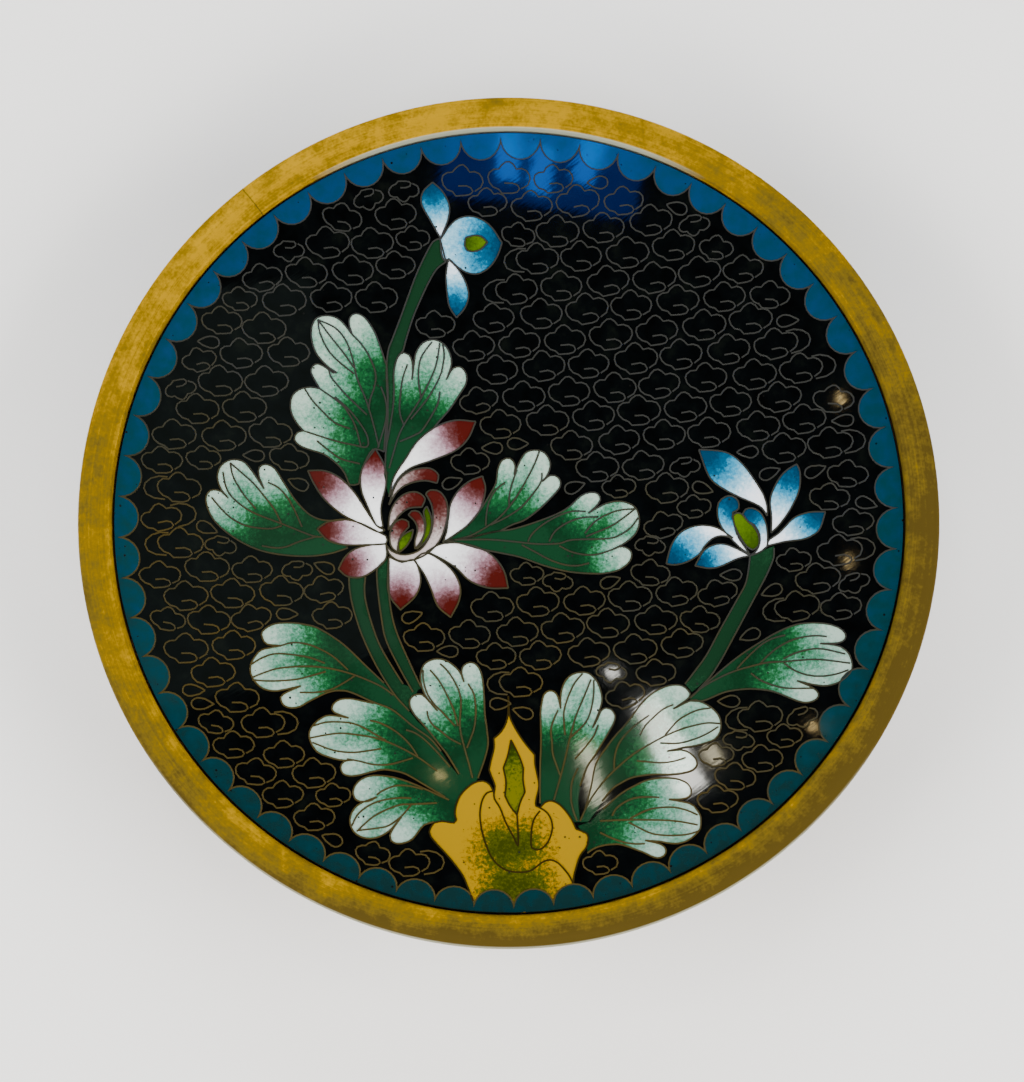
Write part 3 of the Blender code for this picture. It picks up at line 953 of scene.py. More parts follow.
# Leaves. Twelve of them fan out over the dish, each with a broad striped middle finger between smaller ones,
# dark at the root and almost white at the fingertips.
leaf_1_cells = [
    (leaf_glass, [(325, 318), (357, 316), (316, 367), (298, 396), (297, 440)], 95, [
        [(337, 373), (327, 366), (316, 353), (311.5, 338), (312.5, 325), (318, 317.5), (330, 316), (341, 321),
         (352.5, 335)],
        [(352.5, 335), (349.3, 325), (350, 317.5), (356, 313.7), (365, 318), (374, 331), (380, 346),
         (386.7, 366)],
        [(386.7, 366), (388, 400), (386, 425), (384, 452)],
        [(384, 452), (376, 449), (370, 453), (362, 470), (359, 484)],
        [(359, 484), (350, 485), (345, 474), (338, 465), (325, 455), (312, 450.5), (301, 446.5), (294.5, 440),
         (297, 433), (303.5, 431)],
        [(303.5, 431), (296, 422), (290.8, 410), (292, 397), (299, 390), (310, 387.3), (320, 389)],
        [(320, 389), (313, 377), (311, 370), (315.5, 364.2), (322, 365.5), (329, 370)],
        [(329, 370), (333, 373), (337, 373)],
    ], []),
]
leaf_1_veins = [
    [(318, 320), (320, 333), (328, 350), (339, 362), (354, 374)],
    [(318, 320), (330, 336), (345, 355), (354, 368)],
    [(318, 320), (335, 328), (346, 341), (353, 360), (357, 378), (366, 400), (373, 423), (379, 447)],
    [(352.5, 335), (362, 345), (370, 358), (375.5, 373), (375, 385), (370, 400), (369, 409)],
    [(381, 387), (386, 402), (386, 420), (378, 448)],
    [(329, 370), (331, 377), (339, 387), (348, 397), (367, 415)],
    [(320, 389), (341, 404), (349, 414), (356, 428), (361, 447)],
    [(335, 397), (350, 411), (361, 425), (367.5, 437), (367, 447), (353, 445), (335, 441), (303.5, 431)],
    [(305, 389), (312, 400), (323, 412), (335, 423), (350, 429)],
    [(317, 441), (328, 450), (341, 459), (360, 464)],
]
plant("leaf_1", leaf_1_cells, leaf_1_veins)
leaf_2_cells = [
    (leaf_glass, [(434, 340), (462, 368), (404, 353)], 88, [
        [(397.5, 358), (400, 354.2), (404.2, 352.8), (409, 355), (412, 361), (412.8, 370), (412, 380)],
        [(412, 380), (414, 365), (416, 353), (423, 343), (434, 340), (444, 344.5), (450, 354), (451.5, 364),
         (449, 373), (446.4, 380)],
        [(446.4, 380), (451, 371), (456, 367.2), (462, 368), (466.5, 375), (466, 384), (460, 394), (450, 409),
         (439, 421.7), (434, 428)],
    ], [(418, 441), (405, 460), (394, 477), (389, 497), (384, 475), (386, 450), (389, 433), (393, 408),
        (394, 391), (394, 372), (397.5, 358)]),
]
leaf_2_veins = [
    [(407.6, 364.4), (402.6, 379.4), (400, 400), (400, 414), (404.2, 426)],
    [(432, 342.2), (426.4, 349.4), (420.9, 358.3), (418.7, 369.4), (418.7, 382.8), (420.9, 397)],
    [(439.8, 343.3), (437, 361.7), (432, 376), (420.9, 398.3), (405.3, 422.8), (398.7, 436), (394.2, 450.6),
     (389.2, 468.3)],
    [(442.6, 344.4), (444.2, 354), (443, 365), (439.8, 377), (428.7, 397), (410.9, 419.4)],
    [(439.8, 391.7), (438.7, 400.6), (435.3, 409.4), (423, 429.4), (415.3, 435), (399.8, 441.7)],
    [(389, 433), (386, 450), (385, 475)],
]
plant("leaf_2", leaf_2_cells, leaf_2_veins)
leaf_3_cells = [
    (leaf_glass, [(231, 462), (266, 465), (212, 492)], 92, [
        [(228.3, 498.3), (221, 489), (217.5, 477), (221, 466), (230.8, 460), (243, 461.5), (252, 471),
         (264.2, 489)],
        [(264.2, 489), (259, 476), (259.5, 467.5), (266, 464.5), (275, 469), (284, 483), (296, 501),
         (310, 515), (325, 520.5), (344, 520)],
        [(344, 520), (328, 522), (317, 529.2)],
        [(317, 529.2), (328, 540.5), (348, 546)],
        [(348, 548), (331, 553.5), (310, 556.3), (285, 555.3), (262, 551), (241, 542), (222, 528.5),
         (211, 515.5), (206, 501), (208, 493), (213, 490), (221, 491.5), (228.3, 498.3)],
    ], []),
]
leaf_3_veins = [
    [(211.7, 497.5), (220, 507.5), (231, 518), (245, 525.5), (260, 528.3), (272, 528.7), (281.7, 526)],
    [(223, 472), (226, 486.7), (232, 497), (243, 506.5), (256, 514), (282, 524), (312, 535.8), (322, 537)],
    [(230.3, 463), (233, 476), (240, 489), (248, 500), (256, 509)],
    [(230.3, 463), (243, 474), (254, 484), (264, 496), (274, 509), (281.7, 524.2)],
    [(268, 482.5), (278, 487.5), (287, 497), (294, 509), (302, 527)],
    [(262, 546), (275, 548), (286, 547), (300, 541.5), (318, 536.3)],
]
plant("leaf_3", leaf_3_cells, leaf_3_veins)
leaf_4_cells = [
    (leaf_glass, [(506, 459), (539, 452), (553, 477)], 82, [
        [(514.2, 475), (515, 465), (510, 458.5), (502, 460.5), (497.7, 470), (496, 483), (490, 494.5),
         (484, 504.5), (479, 512)],
        [(479, 512), (468, 525), (456, 534), (446, 541)],
        [(446, 541), (470, 537.5), (487, 533.5), (500.8, 530.8)],
        [(500.8, 530.8), (512, 525), (524, 520.5), (536, 512), (548, 501), (560, 487), (558.5, 478),
         (550.5, 475.5), (542.5, 481.7)],
        [(542.5, 481.7), (548, 474), (550.3, 464), (546.5, 455), (538.5, 450.5), (527, 452), (520, 461),
         (514.2, 475)],
    ], []),
    (leaf_glass, [(594, 494), (634, 512), (626, 556)], 66, [
        [(588.3, 513.3), (595.5, 507), (600.3, 500), (598, 494), (591, 492.5), (581, 496), (569, 507),
         (556, 514.5), (535, 522.5), (513, 529.2), (500.8, 530.8)],
        [(500.8, 530.8), (487, 533.5), (470, 537.5), (446, 541)],
        [(446, 541), (460, 543.5), (480, 549), (500, 553), (520, 557.3), (545, 566), (568, 571.7),
         (590, 573.7), (605, 573.3), (620, 569.5), (630, 561), (631, 551.5), (622, 546.7), (611.7, 550)],
        [(611.7, 550), (625, 543), (636, 533), (639.3, 520), (635, 507.5), (622, 501.7), (606, 503.7),
         (588.3, 513.3)],
    ], []),
]
leaf_4_veins = [
    [(505, 482.5), (495, 491), (489, 502), (486.5, 514), (485.8, 525.8)],
    [(517, 470), (512, 484), (509.3, 496), (509.2, 506)],
    [(539.2, 451.7), (535, 463), (528, 477), (519, 493), (509, 507), (499, 518), (485, 528), (470, 536),
     (455, 540)],
    [(542, 473), (541, 482), (533, 494), (521, 507.5), (507, 517), (490.8, 525)],
    [(635, 509), (619, 510.5), (604, 516), (593, 523.5), (585, 533.3)],
    [(635, 509), (623, 518.3), (610, 526.7), (586, 536.7)],
    [(638, 518), (631, 527.5), (620, 535), (608, 538.7), (572, 540), (560, 543.5), (538, 544.2), (513, 541.7),
     (488, 539.7), (455, 540)],
    [(585.8, 511.7), (572, 511.5), (556, 517), (541, 526), (531.5, 535), (528, 541.7)],
    [(596.7, 517.2), (583, 517.7), (568, 522.5), (555, 531.5), (549.2, 541.7)],
    [(559.2, 545.8), (570, 551.5), (582, 554.5), (596, 554.8), (611.7, 550)],
    [(589, 563.3), (578, 565.8), (565, 565), (550, 560), (536, 552.5), (521.7, 545)],
]
plant("leaf_4", leaf_4_cells, leaf_4_veins)
leaf_5_cells = [
    (leaf_glass, [(264, 634), (250, 670), (283, 700)], 92, [
        [(441, 751), (430, 738.5), (412.5, 726), (392.5, 710), (372.5, 702), (352.5, 693), (341, 690.6),
         (328, 692.5), (310, 701), (300, 706.7), (291, 708), (284, 705.5), (281, 700), (283, 694.5),
         (301, 686)],
        [(301, 686), (283, 690), (273, 691), (263, 688.5), (255, 681.7), (250.8, 673.3), (250.8, 665),
         (255, 656.7), (262, 650), (280.8, 645.8)],
        [(280.8, 645.8), (267, 644.2), (262.5, 638), (262.5, 631.5), (273, 624.5), (290, 623), (307, 625),
         (320, 629.2), (343, 644.2), (367, 667), (384, 683)],
    ], [(394, 695), (409, 711), (418, 722), (430, 733)]),
]
leaf_5_veins = [
    [(280.8, 645.8), (293, 642.7), (306.7, 644.2), (318.3, 648.3), (333.3, 656.7), (348, 670)],
    [(251.7, 664.2), (263.3, 657.5), (278.3, 653.7), (306.7, 657), (325, 663.3)],
    [(252.5, 677.5), (265, 672.5), (281.7, 668), (315, 666.7), (346.7, 672.5), (378.3, 685), (393.5, 695)],
    [(252.5, 680), (265, 681), (281.7, 680.8), (298.3, 679.2), (311.7, 675.8), (325.8, 671.7)],
    [(300, 692.5), (315, 692.5), (330, 690), (343.3, 683.3), (355, 675.8)],
]
plant("leaf_5", leaf_5_cells, leaf_5_veins)
leaf_6_cells = [
    (leaf_glass, [(341, 702), (311, 736), (343, 768)], 92, [
        [(445, 797), (433, 790), (421.4, 783), (411.4, 777), (403, 773), (391, 770.3), (380, 770), (360, 775),
         (350, 776), (343, 773.6), (340.7, 767), (344.3, 761.5), (354.3, 760)],
        [(354.3, 760), (340, 760), (321.4, 754.3), (314.3, 748.6), (310, 740), (309.5, 732), (313.7, 724.5),
         (321, 718.5), (330, 715.5), (348.8, 718)],
        [(348.8, 718), (334.4, 712.5), (332, 707.5), (335, 702.5), (341, 699.4), (350, 698.8), (360, 700.6),
         (373.7, 703.5)],
    ], [(392.5, 710), (412.5, 726), (430, 738.5), (441, 751), (450, 765), (458, 775), (474, 778), (470, 795),
        (455, 803)]),
]
leaf_6_veins = [
    [(313.7, 726), (325, 722.5), (337.5, 722), (350, 723), (360, 726), (371, 732), (386, 740.6)],
    [(310.6, 738), (322.5, 735.6), (337.5, 733.5), (350, 734), (375, 738), (396, 745.6), (417.5, 757),
     (437, 771)],
    [(312.5, 742.5), (330, 749.4), (342.5, 752), (355, 752.5), (367.5, 751), (381, 748.8)],
    [(370, 720.6), (380, 723), (392.5, 729.4), (402.5, 737), (411, 746), (417.5, 756)],
    [(347, 759), (360, 761.4), (371.4, 764.3), (383, 765), (394.3, 763.6), (413, 758)],
    [(406, 730), (415, 733), (425, 740), (437.5, 752.5), (450, 767)],
]
plant("leaf_6", leaf_6_cells, leaf_6_veins)
leaf_7_cells = [
    (leaf_glass, [(398, 840), (353, 826), (358, 790)], 80, [
        [(434, 822), (424.3, 825), (418.6, 831.4), (413, 838.6), (405.7, 842.6), (397, 843.6), (391.4, 840.7),
         (390, 835.7), (393, 829), (401.4, 817)],
        [(401.4, 817), (394.3, 825.7), (388.6, 831.4), (380, 836.4), (370, 838.6), (360, 836.4),
         (353.6, 831.4), (350.3, 824.3), (350.3, 817), (354.3, 808.6), (361.4, 803), (377, 797)],
        [(377, 797), (368.6, 801.4), (360, 801.4), (355, 798.6), (353, 793.6), (355, 785.7), (361.4, 779.3),
         (370, 776), (380, 775.7), (391.4, 777), (403, 780), (414.3, 784.3), (425.7, 789.3), (449, 800)],
    ], [(460, 800), (462, 815), (455, 826), (440, 826)]),
]
leaf_7_veins = [
    [(377, 795), (381.4, 791.4), (391.4, 787), (400, 785.4), (411.4, 786.4), (423, 789.3)],
    [(352, 825.7), (357, 815.7), (364.3, 808.6), (374.3, 803), (385.7, 799.7), (400, 798), (411.4, 798.3)],
    [(357, 831.4), (364.3, 824.3), (373, 817), (384.3, 810.7), (400, 805), (414.3, 804.3), (437, 803)],
    [(357, 830.7), (368.6, 829.3), (378.6, 828), (388.6, 825.7), (402, 815.7), (411, 805)],
]
plant("leaf_7", leaf_7_cells, leaf_7_veins)
leaf_8_cells = [
    (leaf_glass, [(417, 697), (437, 660), (470, 664)], 88, [
        [(459, 774), (447.5, 755), (438.7, 743.7), (430, 732.5), (420, 721), (413.7, 713.7), (410, 706),
         (410, 700), (413.7, 695.6), (420, 694.4), (425, 697), (437.5, 711)],
        [(437.5, 711), (427.5, 698.7), (423, 690), (420.8, 681), (420.8, 673), (423.7, 665), (430, 660.6),
         (437.5, 659), (446, 660.6), (453.7, 665.6), (460, 672.5), (464, 682)],
        [(464, 682), (461.5, 672), (463.7, 665.6), (470, 662.5), (476, 664.4), (480, 670), (482.5, 678.7),
         (484, 695), (485, 715), (487, 730), (488, 745), (484.4, 760), (478, 778)],
    ], [(474, 786), (462, 795), (458, 785)]),
]
leaf_8_veins = [
    [(430, 670), (437.5, 678.7), (443.7, 688.7), (448.7, 698.7), (453.7, 710), (458, 726)],
    [(440, 663.7), (447.5, 671), (455, 682.5), (459.4, 692.5), (461, 703), (460, 727.5), (465, 750),
     (468.7, 763), (472.5, 778)],
    [(423, 670), (423.5, 681), (427, 693), (434, 704), (441, 711), (455, 726)],
    [(468, 683.7), (473.7, 693.7), (475.6, 706), (475.6, 717.5), (473.7, 730), (467, 748)],
    [(427, 711), (428.7, 718.7), (433.7, 726), (442.5, 732.5), (450, 738.7), (461, 744.4)],
]
plant("leaf_8", leaf_8_cells, leaf_8_veins)
leaf_9_cells = [
    (leaf_glass, [(549, 692), (587, 674), (609, 709)], 85, [
        [(540, 803), (540, 785), (540.3, 762), (541, 742), (540.6, 712.5), (542, 702.5), (543.7, 695),
         (548.7, 691), (554.4, 692), (558, 697), (560.6, 708.7)],
        [(560.6, 708.7), (560.6, 697.5), (562, 688.7), (566, 680), (572.5, 674.4), (580, 672.5), (587.5, 673),
         (593.7, 677.5), (598.7, 685), (602, 698), (600, 708.7), (592.5, 728)],
        [(592.5, 728), (597.5, 719), (601, 711), (606, 708), (611, 709.4), (615, 715), (614.4, 721),
         (610, 730), (595, 755), (587.5, 766), (580, 786)],
    ], [(578, 800), (580, 822), (565, 822), (545, 812)]),
]
leaf_9_veins = [
    [(582.5, 673.7), (575, 682.5), (570, 692.5), (566, 703), (563.7, 715), (565, 735)],
    [(591, 679.4), (583.7, 697.5), (576, 716), (570.6, 735), (566, 755), (561, 775), (554, 800)],
    [(593.7, 680), (593.7, 692), (592.5, 702.5), (589.4, 715), (583.7, 725), (570, 738)],
    [(558, 710), (553.7, 720), (551, 730), (552, 743), (553, 755), (560, 775)],
    [(598, 725), (593.7, 736), (585, 747.5), (575, 759)],
    [(578, 768), (572, 782), (571, 798), (573, 810), (577, 821)],
]
plant("leaf_9", leaf_9_cells, leaf_9_veins)
leaf_10_cells = [
    (leaf_glass, [(686, 688), (719, 722), (692, 762)], 98, [
        [(602, 801), (612.5, 788.7), (621, 783), (631, 778), (642.5, 775.6), (655, 774.4), (670, 774.4),
         (682.5, 773), (692.5, 770), (697, 764.5), (695, 758.3), (690, 753.3), (681.7, 750), (667, 751.3)],
        [(667, 751.3), (683.3, 747.5), (695, 745.8), (706.7, 742.5), (715, 739), (720, 731.7), (720.8, 723.3),
         (718.3, 715), (710, 706.7), (700, 701.7), (691.7, 700.5), (673.3, 709)],
        [(673.3, 709), (689, 697.5), (688.3, 690.8), (681.7, 685.8), (671.7, 685.3), (661.7, 688.3),
         (651.7, 694), (641.7, 703.3), (628, 721.7), (616, 735), (607.5, 746), (596, 763.7), (591, 787),
         (585, 810)],
    ], [(580, 822), (588, 822), (597, 810)]),
]
leaf_10_veins = [
    [(673.3, 704.7), (663.3, 709), (653.3, 717.5), (645, 726), (640, 735)],
    [(649, 715.3), (640, 721.7), (630, 730), (620, 741.7), (615, 755), (614, 769)],
    [(710, 708.3), (698.3, 710), (686.7, 715), (676.7, 721.7), (665, 735)],
    [(720, 723.7), (708.3, 723), (696.7, 725), (681.7, 729), (665, 736), (650, 744), (631, 756), (611, 773.7),
     (600, 786), (589, 802), (580, 821)],
    [(718.3, 726.7), (708.3, 733), (695, 739), (678.3, 743.3), (660, 743)],
    [(685.8, 757.5), (675, 761), (661.7, 762.8), (648.3, 762), (636.7, 760.8)],
]
plant("leaf_10", leaf_10_cells, leaf_10_veins)
leaf_11_cells = [
    (leaf_glass, [(688, 788), (700, 822), (660, 855)], 92, [
        [(587.5, 853), (593.7, 848.7), (602.5, 845.6), (612.5, 844.4), (622.5, 845), (642.5, 852),
         (650, 855.6), (657.5, 858), (664, 855.6), (666, 850), (661, 844.5), (645, 840.5)],
        [(645, 840.5), (660, 841.5), (667.5, 843), (677.5, 843.5), (687.5, 840.6), (695, 835), (700, 828.7),
         (700.8, 821), (700, 815), (696, 808.7), (690, 803.7), (668.7, 799.4)],
        [(668.7, 799.4), (682, 799), (689.4, 796), (691, 790), (687.5, 783.7), (678.7, 779.4), (667.5, 778),
         (655, 778.7), (645, 781), (635, 785.6), (625, 791), (616, 797.5), (603, 809)],
    ], [(590, 822), (578, 826), (586, 838)]),
]
leaf_11_veins = [
    [(659.4, 797.5), (647.5, 797), (635, 798), (625, 802), (616, 808.7), (612, 816)],
    [(697.5, 815), (687.5, 810.6), (675, 807.5), (662.5, 807.5), (647.5, 810), (630, 818.7)],
    [(697.5, 825), (685, 822.5), (670, 820.6), (650, 820), (625, 820), (600, 821)],
    [(698.7, 831), (687.5, 834.4), (672.5, 835.6), (660, 835), (648.7, 832.5), (628.7, 822.5)],
    [(600, 832.5), (610, 837.5), (622.5, 842), (635, 844), (645, 843.7)],
]
plant("leaf_11", leaf_11_cells, leaf_11_veins)
leaf_12_cells = [
    (leaf_glass, [(842, 634), (850, 664), (815, 694)], 98, [
        [(690, 701), (703.3, 700.8), (721.7, 693.3), (733.3, 690.5), (750, 689), (766.7, 690.3),
         (778.3, 693.3), (798.3, 701.3), (808.3, 702.5), (816.7, 699), (818.3, 693.3), (812, 687.5),
         (796.7, 680.8)],
        [(796.7, 680.8), (815, 685), (826.7, 685.8), (838.3, 682.5), (846.7, 676.7), (851.7, 670),
         (851.7, 661.7), (848.3, 653.3), (841.7, 647.5), (831.7, 644.7), (820, 643.7)],
        [(820, 643.7), (838.3, 643), (845, 639), (845, 633.3), (838.3, 627.5), (826.7, 624), (813.3, 623),
         (800, 624), (790, 626.7), (780, 631), (766.7, 638.3), (738.3, 656.7), (710, 680), (690, 698.3)],
    ], []),
]
leaf_12_veins = [
    [(690, 697.5), (703.3, 686.7), (718.3, 678.3), (735, 671), (753.3, 665.8), (768.3, 662.5), (785, 661.7),
     (800, 660.3), (820, 659.7), (850, 663.3)],
    [(736.7, 669), (743.3, 661.7), (753.3, 651.7), (763.3, 643.3), (773.3, 638.3), (785, 635.3)],
    [(760.8, 663), (766.7, 656.7), (776.7, 648.3), (790, 641), (801.7, 637.5), (815, 635.8), (826.7, 636.7)],
    [(783.3, 659), (793.3, 654), (806.7, 650), (821.7, 649), (845, 654)],
    [(784, 663.3), (793.3, 670), (806.7, 675), (821.7, 676.3), (836.7, 674), (848.3, 670)],
    [(750.8, 673.3), (760, 680), (771.7, 685), (786.7, 688.3), (814, 688.3)],
]
plant("leaf_12", leaf_12_cells, leaf_12_veins)

# Rock. A pierced yellow garden rock at the near edge, in dull glass with grains of green and orange about its
# hollows. Its wires are darker than the rest.
rock_yellow = shaded_glass(
    "rock_yellow",
    [
        (0.10, (0.020, 0.026, 0.0008)), (0.45, (0.050, 0.056, 0.001)), (0.60, (0.17, 0.090, 0.0)),
        (0.78, (0.245, 0.142, 0.0)),
    ],
    0.40,
    1.6,
    0.25,
    0.3,
)
rock_green = shaded_glass(
    "rock_green", [(0.2, (0.085, 0.085, 0.001)), (0.5, (0.030, 0.045, 0.001)), (0.8, (0.010, 0.018, 0.001))],
    0.4, 1.6, 0.2, 0.3,
)
dark_wire, _, _ = new_material("dark_wire", (0.016, 0.011, 0.002), 0.6)
for matt in (rock_yellow, rock_green, dark_wire):
    matt.node_tree.nodes["Principled BSDF"].inputs["Specular IOR Level"].default_value = 0.08
rock_cells = [
    (rock_yellow, [(503, 850), (520, 848), (508, 885), (526, 885)], 46, [
        [(573.4, 884), (574, 876), (576, 868), (580, 856), (586, 848), (588, 841), (587, 834), (576, 829)],
        [(576, 829), (573, 822), (568, 814), (560, 805), (552, 801), (545, 802.5), (540, 808)],
        [(540, 808), (536, 806), (536, 800), (539, 786), (537, 774), (535, 764), (535, 755)],
        [(535, 755), (528, 747), (520, 736), (513, 724), (509.4, 714), (508.3, 696)],
        [(508.3, 696), (508, 714), (505, 725), (500, 733), (493.6, 738.5)],
        [(493.6, 738.5), (494, 748), (491, 760), (489, 770)],
        [(489, 770), (492, 778), (495, 786), (494, 793)],
        [(494, 793), (490, 785), (483, 781), (474, 783), (466, 789), (460, 796), (456, 806), (455, 814),
         (456.5, 820)],
        [(456.5, 820), (454, 823), (442, 821.3), (434, 823)],
        [(434, 823), (430, 829), (431, 837), (446, 854), (456, 866), (464, 878), (473, 901)],
    ], [(476, 908), (500, 912), (525, 912), (550, 908), (562, 893)]),
    (rock_green, [(514, 790)], 60, [
        [(511, 740), (508, 755), (503.4, 768)],
        [(503.4, 768), (506, 782), (505, 796)],
        [(505, 796), (510, 806), (517, 815)],
        [(517, 815), (520, 803), (525, 792)],
        [(525, 792), (523, 780), (523.4, 768)],
        [(523.4, 768), (519, 756), (511, 740)],
    ], []),
]
rock_veins = [
    [(494, 793), (494.5, 799), (500, 808), (506, 823), (514, 838), (518, 846), (518, 830), (517, 815)],
    [(494, 791), (487, 793), (482.4, 800), (480, 812), (481, 826), (485, 842), (492, 858), (502, 868),
     (514, 872), (530, 871), (542, 862.5), (550, 860), (558, 863), (568, 874), (573.4, 884)],
    [(540, 808), (545, 811), (550, 817), (552.4, 828), (548, 842), (540, 849.5), (532, 848), (531, 839),
     (532.4, 824), (536, 816), (540, 811)],
]
plant("rock", rock_cells, rock_veins, dark_wire)

# Cloud wires. Rows of small scrolled clouds fill the black ground, each bent from a single wire. Smaller
# clouds, crescents and drops are fitted in where a plant or the border leaves no room for a whole one.
CLOUD_WIDTH, CLOUD_HEIGHT = 0.0058, 0.0041
DROP_LENGTH, DROP_WIDTH = 0.0029, 0.0016
CLOUD_PITCH, CLOUD_ROW = 0.0063, 0.0036
ROW_TILT = math.radians(4)
CLOUD_STRAY = 0.0002
CLOUD_LEAN = math.radians(4)
HAND_TREMOR = 2e-5
ROOM_GRID = 0.00015
PLANT_CLEARANCE, CLOUD_CLEARANCE = 2, 1
SEARCH_STEP = 4
DROP_ROOM = 1.2

# Each path is in shares of its width and height about its middle, from its inner end round to the other.
cloud_path = [
    (-0.11, -0.18), (0.09, -0.17), (0.20, -0.24), (0.245, -0.36), (0.19, -0.45), (0.08, -0.485),
    (-0.16, -0.49), (-0.245, -0.36), (-0.37, -0.29), (-0.46, -0.15), (-0.495, 0.02), (-0.46, 0.16),
    (-0.36, 0.25), (-0.235, 0.255), (-0.17, 0.38), (-0.07, 0.48), (0.02, 0.49), (0.10, 0.41), (0.175, 0.265),
    (0.30, 0.275), (0.41, 0.21), (0.48, 0.08), (0.495, -0.06), (0.44, -0.23), (0.29, -0.35),
]
low_path = [(across, -up) for across, up in cloud_path]
drop_path = [
    (math.cos(turn) / 2, math.sin(turn) * math.sin(turn / 2) / 1.54)
    for turn in (math.tau * step / 18 for step in range(19))
]
crescent_path = [
    (0.26, 0.32), (0.45, 0.34), (0.63, 0.26), (0.76, 0.10), (0.79, -0.08), (0.73, -0.27), (0.56, -0.39),
    (0.32, -0.42),
]
crescent_room = [
    (0.42, 0.34), (0.62, 0.26), (0.75, 0.10), (0.78, -0.08), (0.72, -0.26), (0.52, -0.40), (0.56, -0.26),
    (0.58, 0.0), (0.52, 0.22),
]

grid_size = 2 * math.ceil(rim_radius / ROOM_GRID)


def bent(path, centre, width, height, turn):
    """A wire's path in plan, at its place and size and turned."""
    turned = Matrix.Rotation(turn, 2)
    return [centre + turned @ Vector((across * width, up * height)) for across, up in path]


def inside_of(outline, margin=0):
    """The part of the grid round an outline in plan, and which of its squares lie inside the outline."""
    corners = np.array([place[:] for place in outline]) / ROOM_GRID + grid_size / 2
    first = np.floor(corners.min(axis=0)).astype(int) - margin
    last = np.ceil(corners.max(axis=0)).astype(int) + margin
    xs, ys = np.meshgrid(np.arange(first[0], last[0]) + 0.5, np.arange(first[1], last[1]) + 0.5)
    inside = np.zeros(xs.shape, bool)
    for (ax, ay), (bx, by) in zip(corners, np.roll(corners, -1, axis=0)):
        if ay != by:
            inside ^= ((ay > ys) != (by > ys)) & (xs < (bx - ax) * (ys - ay) / (by - ay) + ax)
    return (slice(first[1], last[1]), slice(first[0], last[0])), inside


def grown(squares, steps):
    wider = squares.copy()
    for up in range(-steps, steps + 1):
        for across in range(-steps, steps + 1):
            wider |= np.roll(squares, (up, across), axis=(0, 1))
    return wider


def is_free(outline):
    columns, rows = (np.array([place[:] for place in outline]).T / ROOM_GRID + grid_size / 2).astype(int)
    if taken[rows, columns].any():
        return False
    part, inside = inside_of(outline)
    return not (taken[part] & inside).any()


def take_up(outline):
    part, inside = inside_of(outline, CLOUD_CLEARANCE)
    taken[part] |= grown(inside, CLOUD_CLEARANCE)


taken = np.ones((grid_size, grid_size), bool)
part, inside = inside_of(scallops)
taken[part] = ~inside
for outline in plant_outlines:
    part, inside = inside_of(outline)
    taken[part] |= inside
taken = grown(taken, PLANT_CLEARANCE)

hand = random.Random(11)
cloud_lines = []
whole_clouds = []


def add_bent(path, centre, width, height, turn, outline_from=0, room=1.0):
    """Bends a wire where there is room for it, each a little off the others by hand."""
    line = bent(path, centre, width, height, turn)
    if not is_free([centre + (place - centre) * room for place in line[outline_from:]]):
        return False
    take_up(line[outline_from:])
    cloud_lines.append(
        [place + Vector((hand.gauss(0, HAND_TREMOR), hand.gauss(0, HAND_TREMOR))) for place in line]
    )
    return True


def fill_in(path, width, height, turns, outline_from=0, room=1.0):
    """Fits copies of a path into the room that is left, row by row. Gives their centres and turns."""
    fitted = []
    for row, column in np.argwhere(~taken[::SEARCH_STEP, ::SEARCH_STEP]) * SEARCH_STEP:
        corner = Vector((grid_size, grid_size)) * ROOM_GRID / 2
        centre = Vector((column + 0.5, row + 0.5)) * ROOM_GRID - corner
        for turn in turns:
            if add_bent(path, centre, width, height, math.radians(turn), outline_from, room):
                fitted.append((centre, math.radians(turn)))
                break
    return fitted


for row in range(-15, 16):
    for column in range(-9, 10):
        site = Vector(((column + row % 2 / 2) * CLOUD_PITCH, row * CLOUD_ROW))
        stray = Vector((hand.uniform(-CLOUD_STRAY, CLOUD_STRAY), hand.uniform(-CLOUD_STRAY, CLOUD_STRAY)))
        centre = Matrix.Rotation(ROW_TILT, 2) @ site + stray
        lean = ROW_TILT + hand.uniform(-CLOUD_LEAN, CLOUD_LEAN)
        size = hand.uniform(0.97, 1.03)
        if centre.length < enamel_edge:
            if add_bent(cloud_path, centre, CLOUD_WIDTH * size, CLOUD_HEIGHT * size, lean, 3):
                whole_clouds.append((centre, lean))
whole_clouds += fill_in(cloud_path, CLOUD_WIDTH * 0.93, CLOUD_HEIGHT * 0.90, (4, -6, 14), 3)
fill_in(cloud_path, CLOUD_WIDTH * 0.80, CLOUD_HEIGHT * 0.78, (4, -8, 16), 3)
for centre, turn in whole_clouds:
    for side in (1, -1):
        width = CLOUD_WIDTH * side
        room = bent(crescent_room, centre, width, CLOUD_HEIGHT, turn)
        if is_free(room):
            take_up(room)
            cloud_lines.append(bent(crescent_path, centre, width, CLOUD_HEIGHT, turn))
fill_in(low_path, CLOUD_WIDTH * 0.72, CLOUD_HEIGHT * 0.66, (4, -8, 16), 3)
fill_in(drop_path, DROP_LENGTH, DROP_WIDTH, (0, 180, 20, 200, -20, 160), 0, DROP_ROOM)
wires("ground_clouds", cloud_lines, brass_wire)
bpy.data.objects.remove(wire_section)

# Cloud wires on the outside. The same clouds, of the same wire, go round the outer black enamel in even rings
# with their tops towards the rim.
OUTER_RINGS = 4
OUTER_RING_STEP = 0.0040
OUTER_FIRST_RING = 0.0036

wire_section = wire_profile(-1)


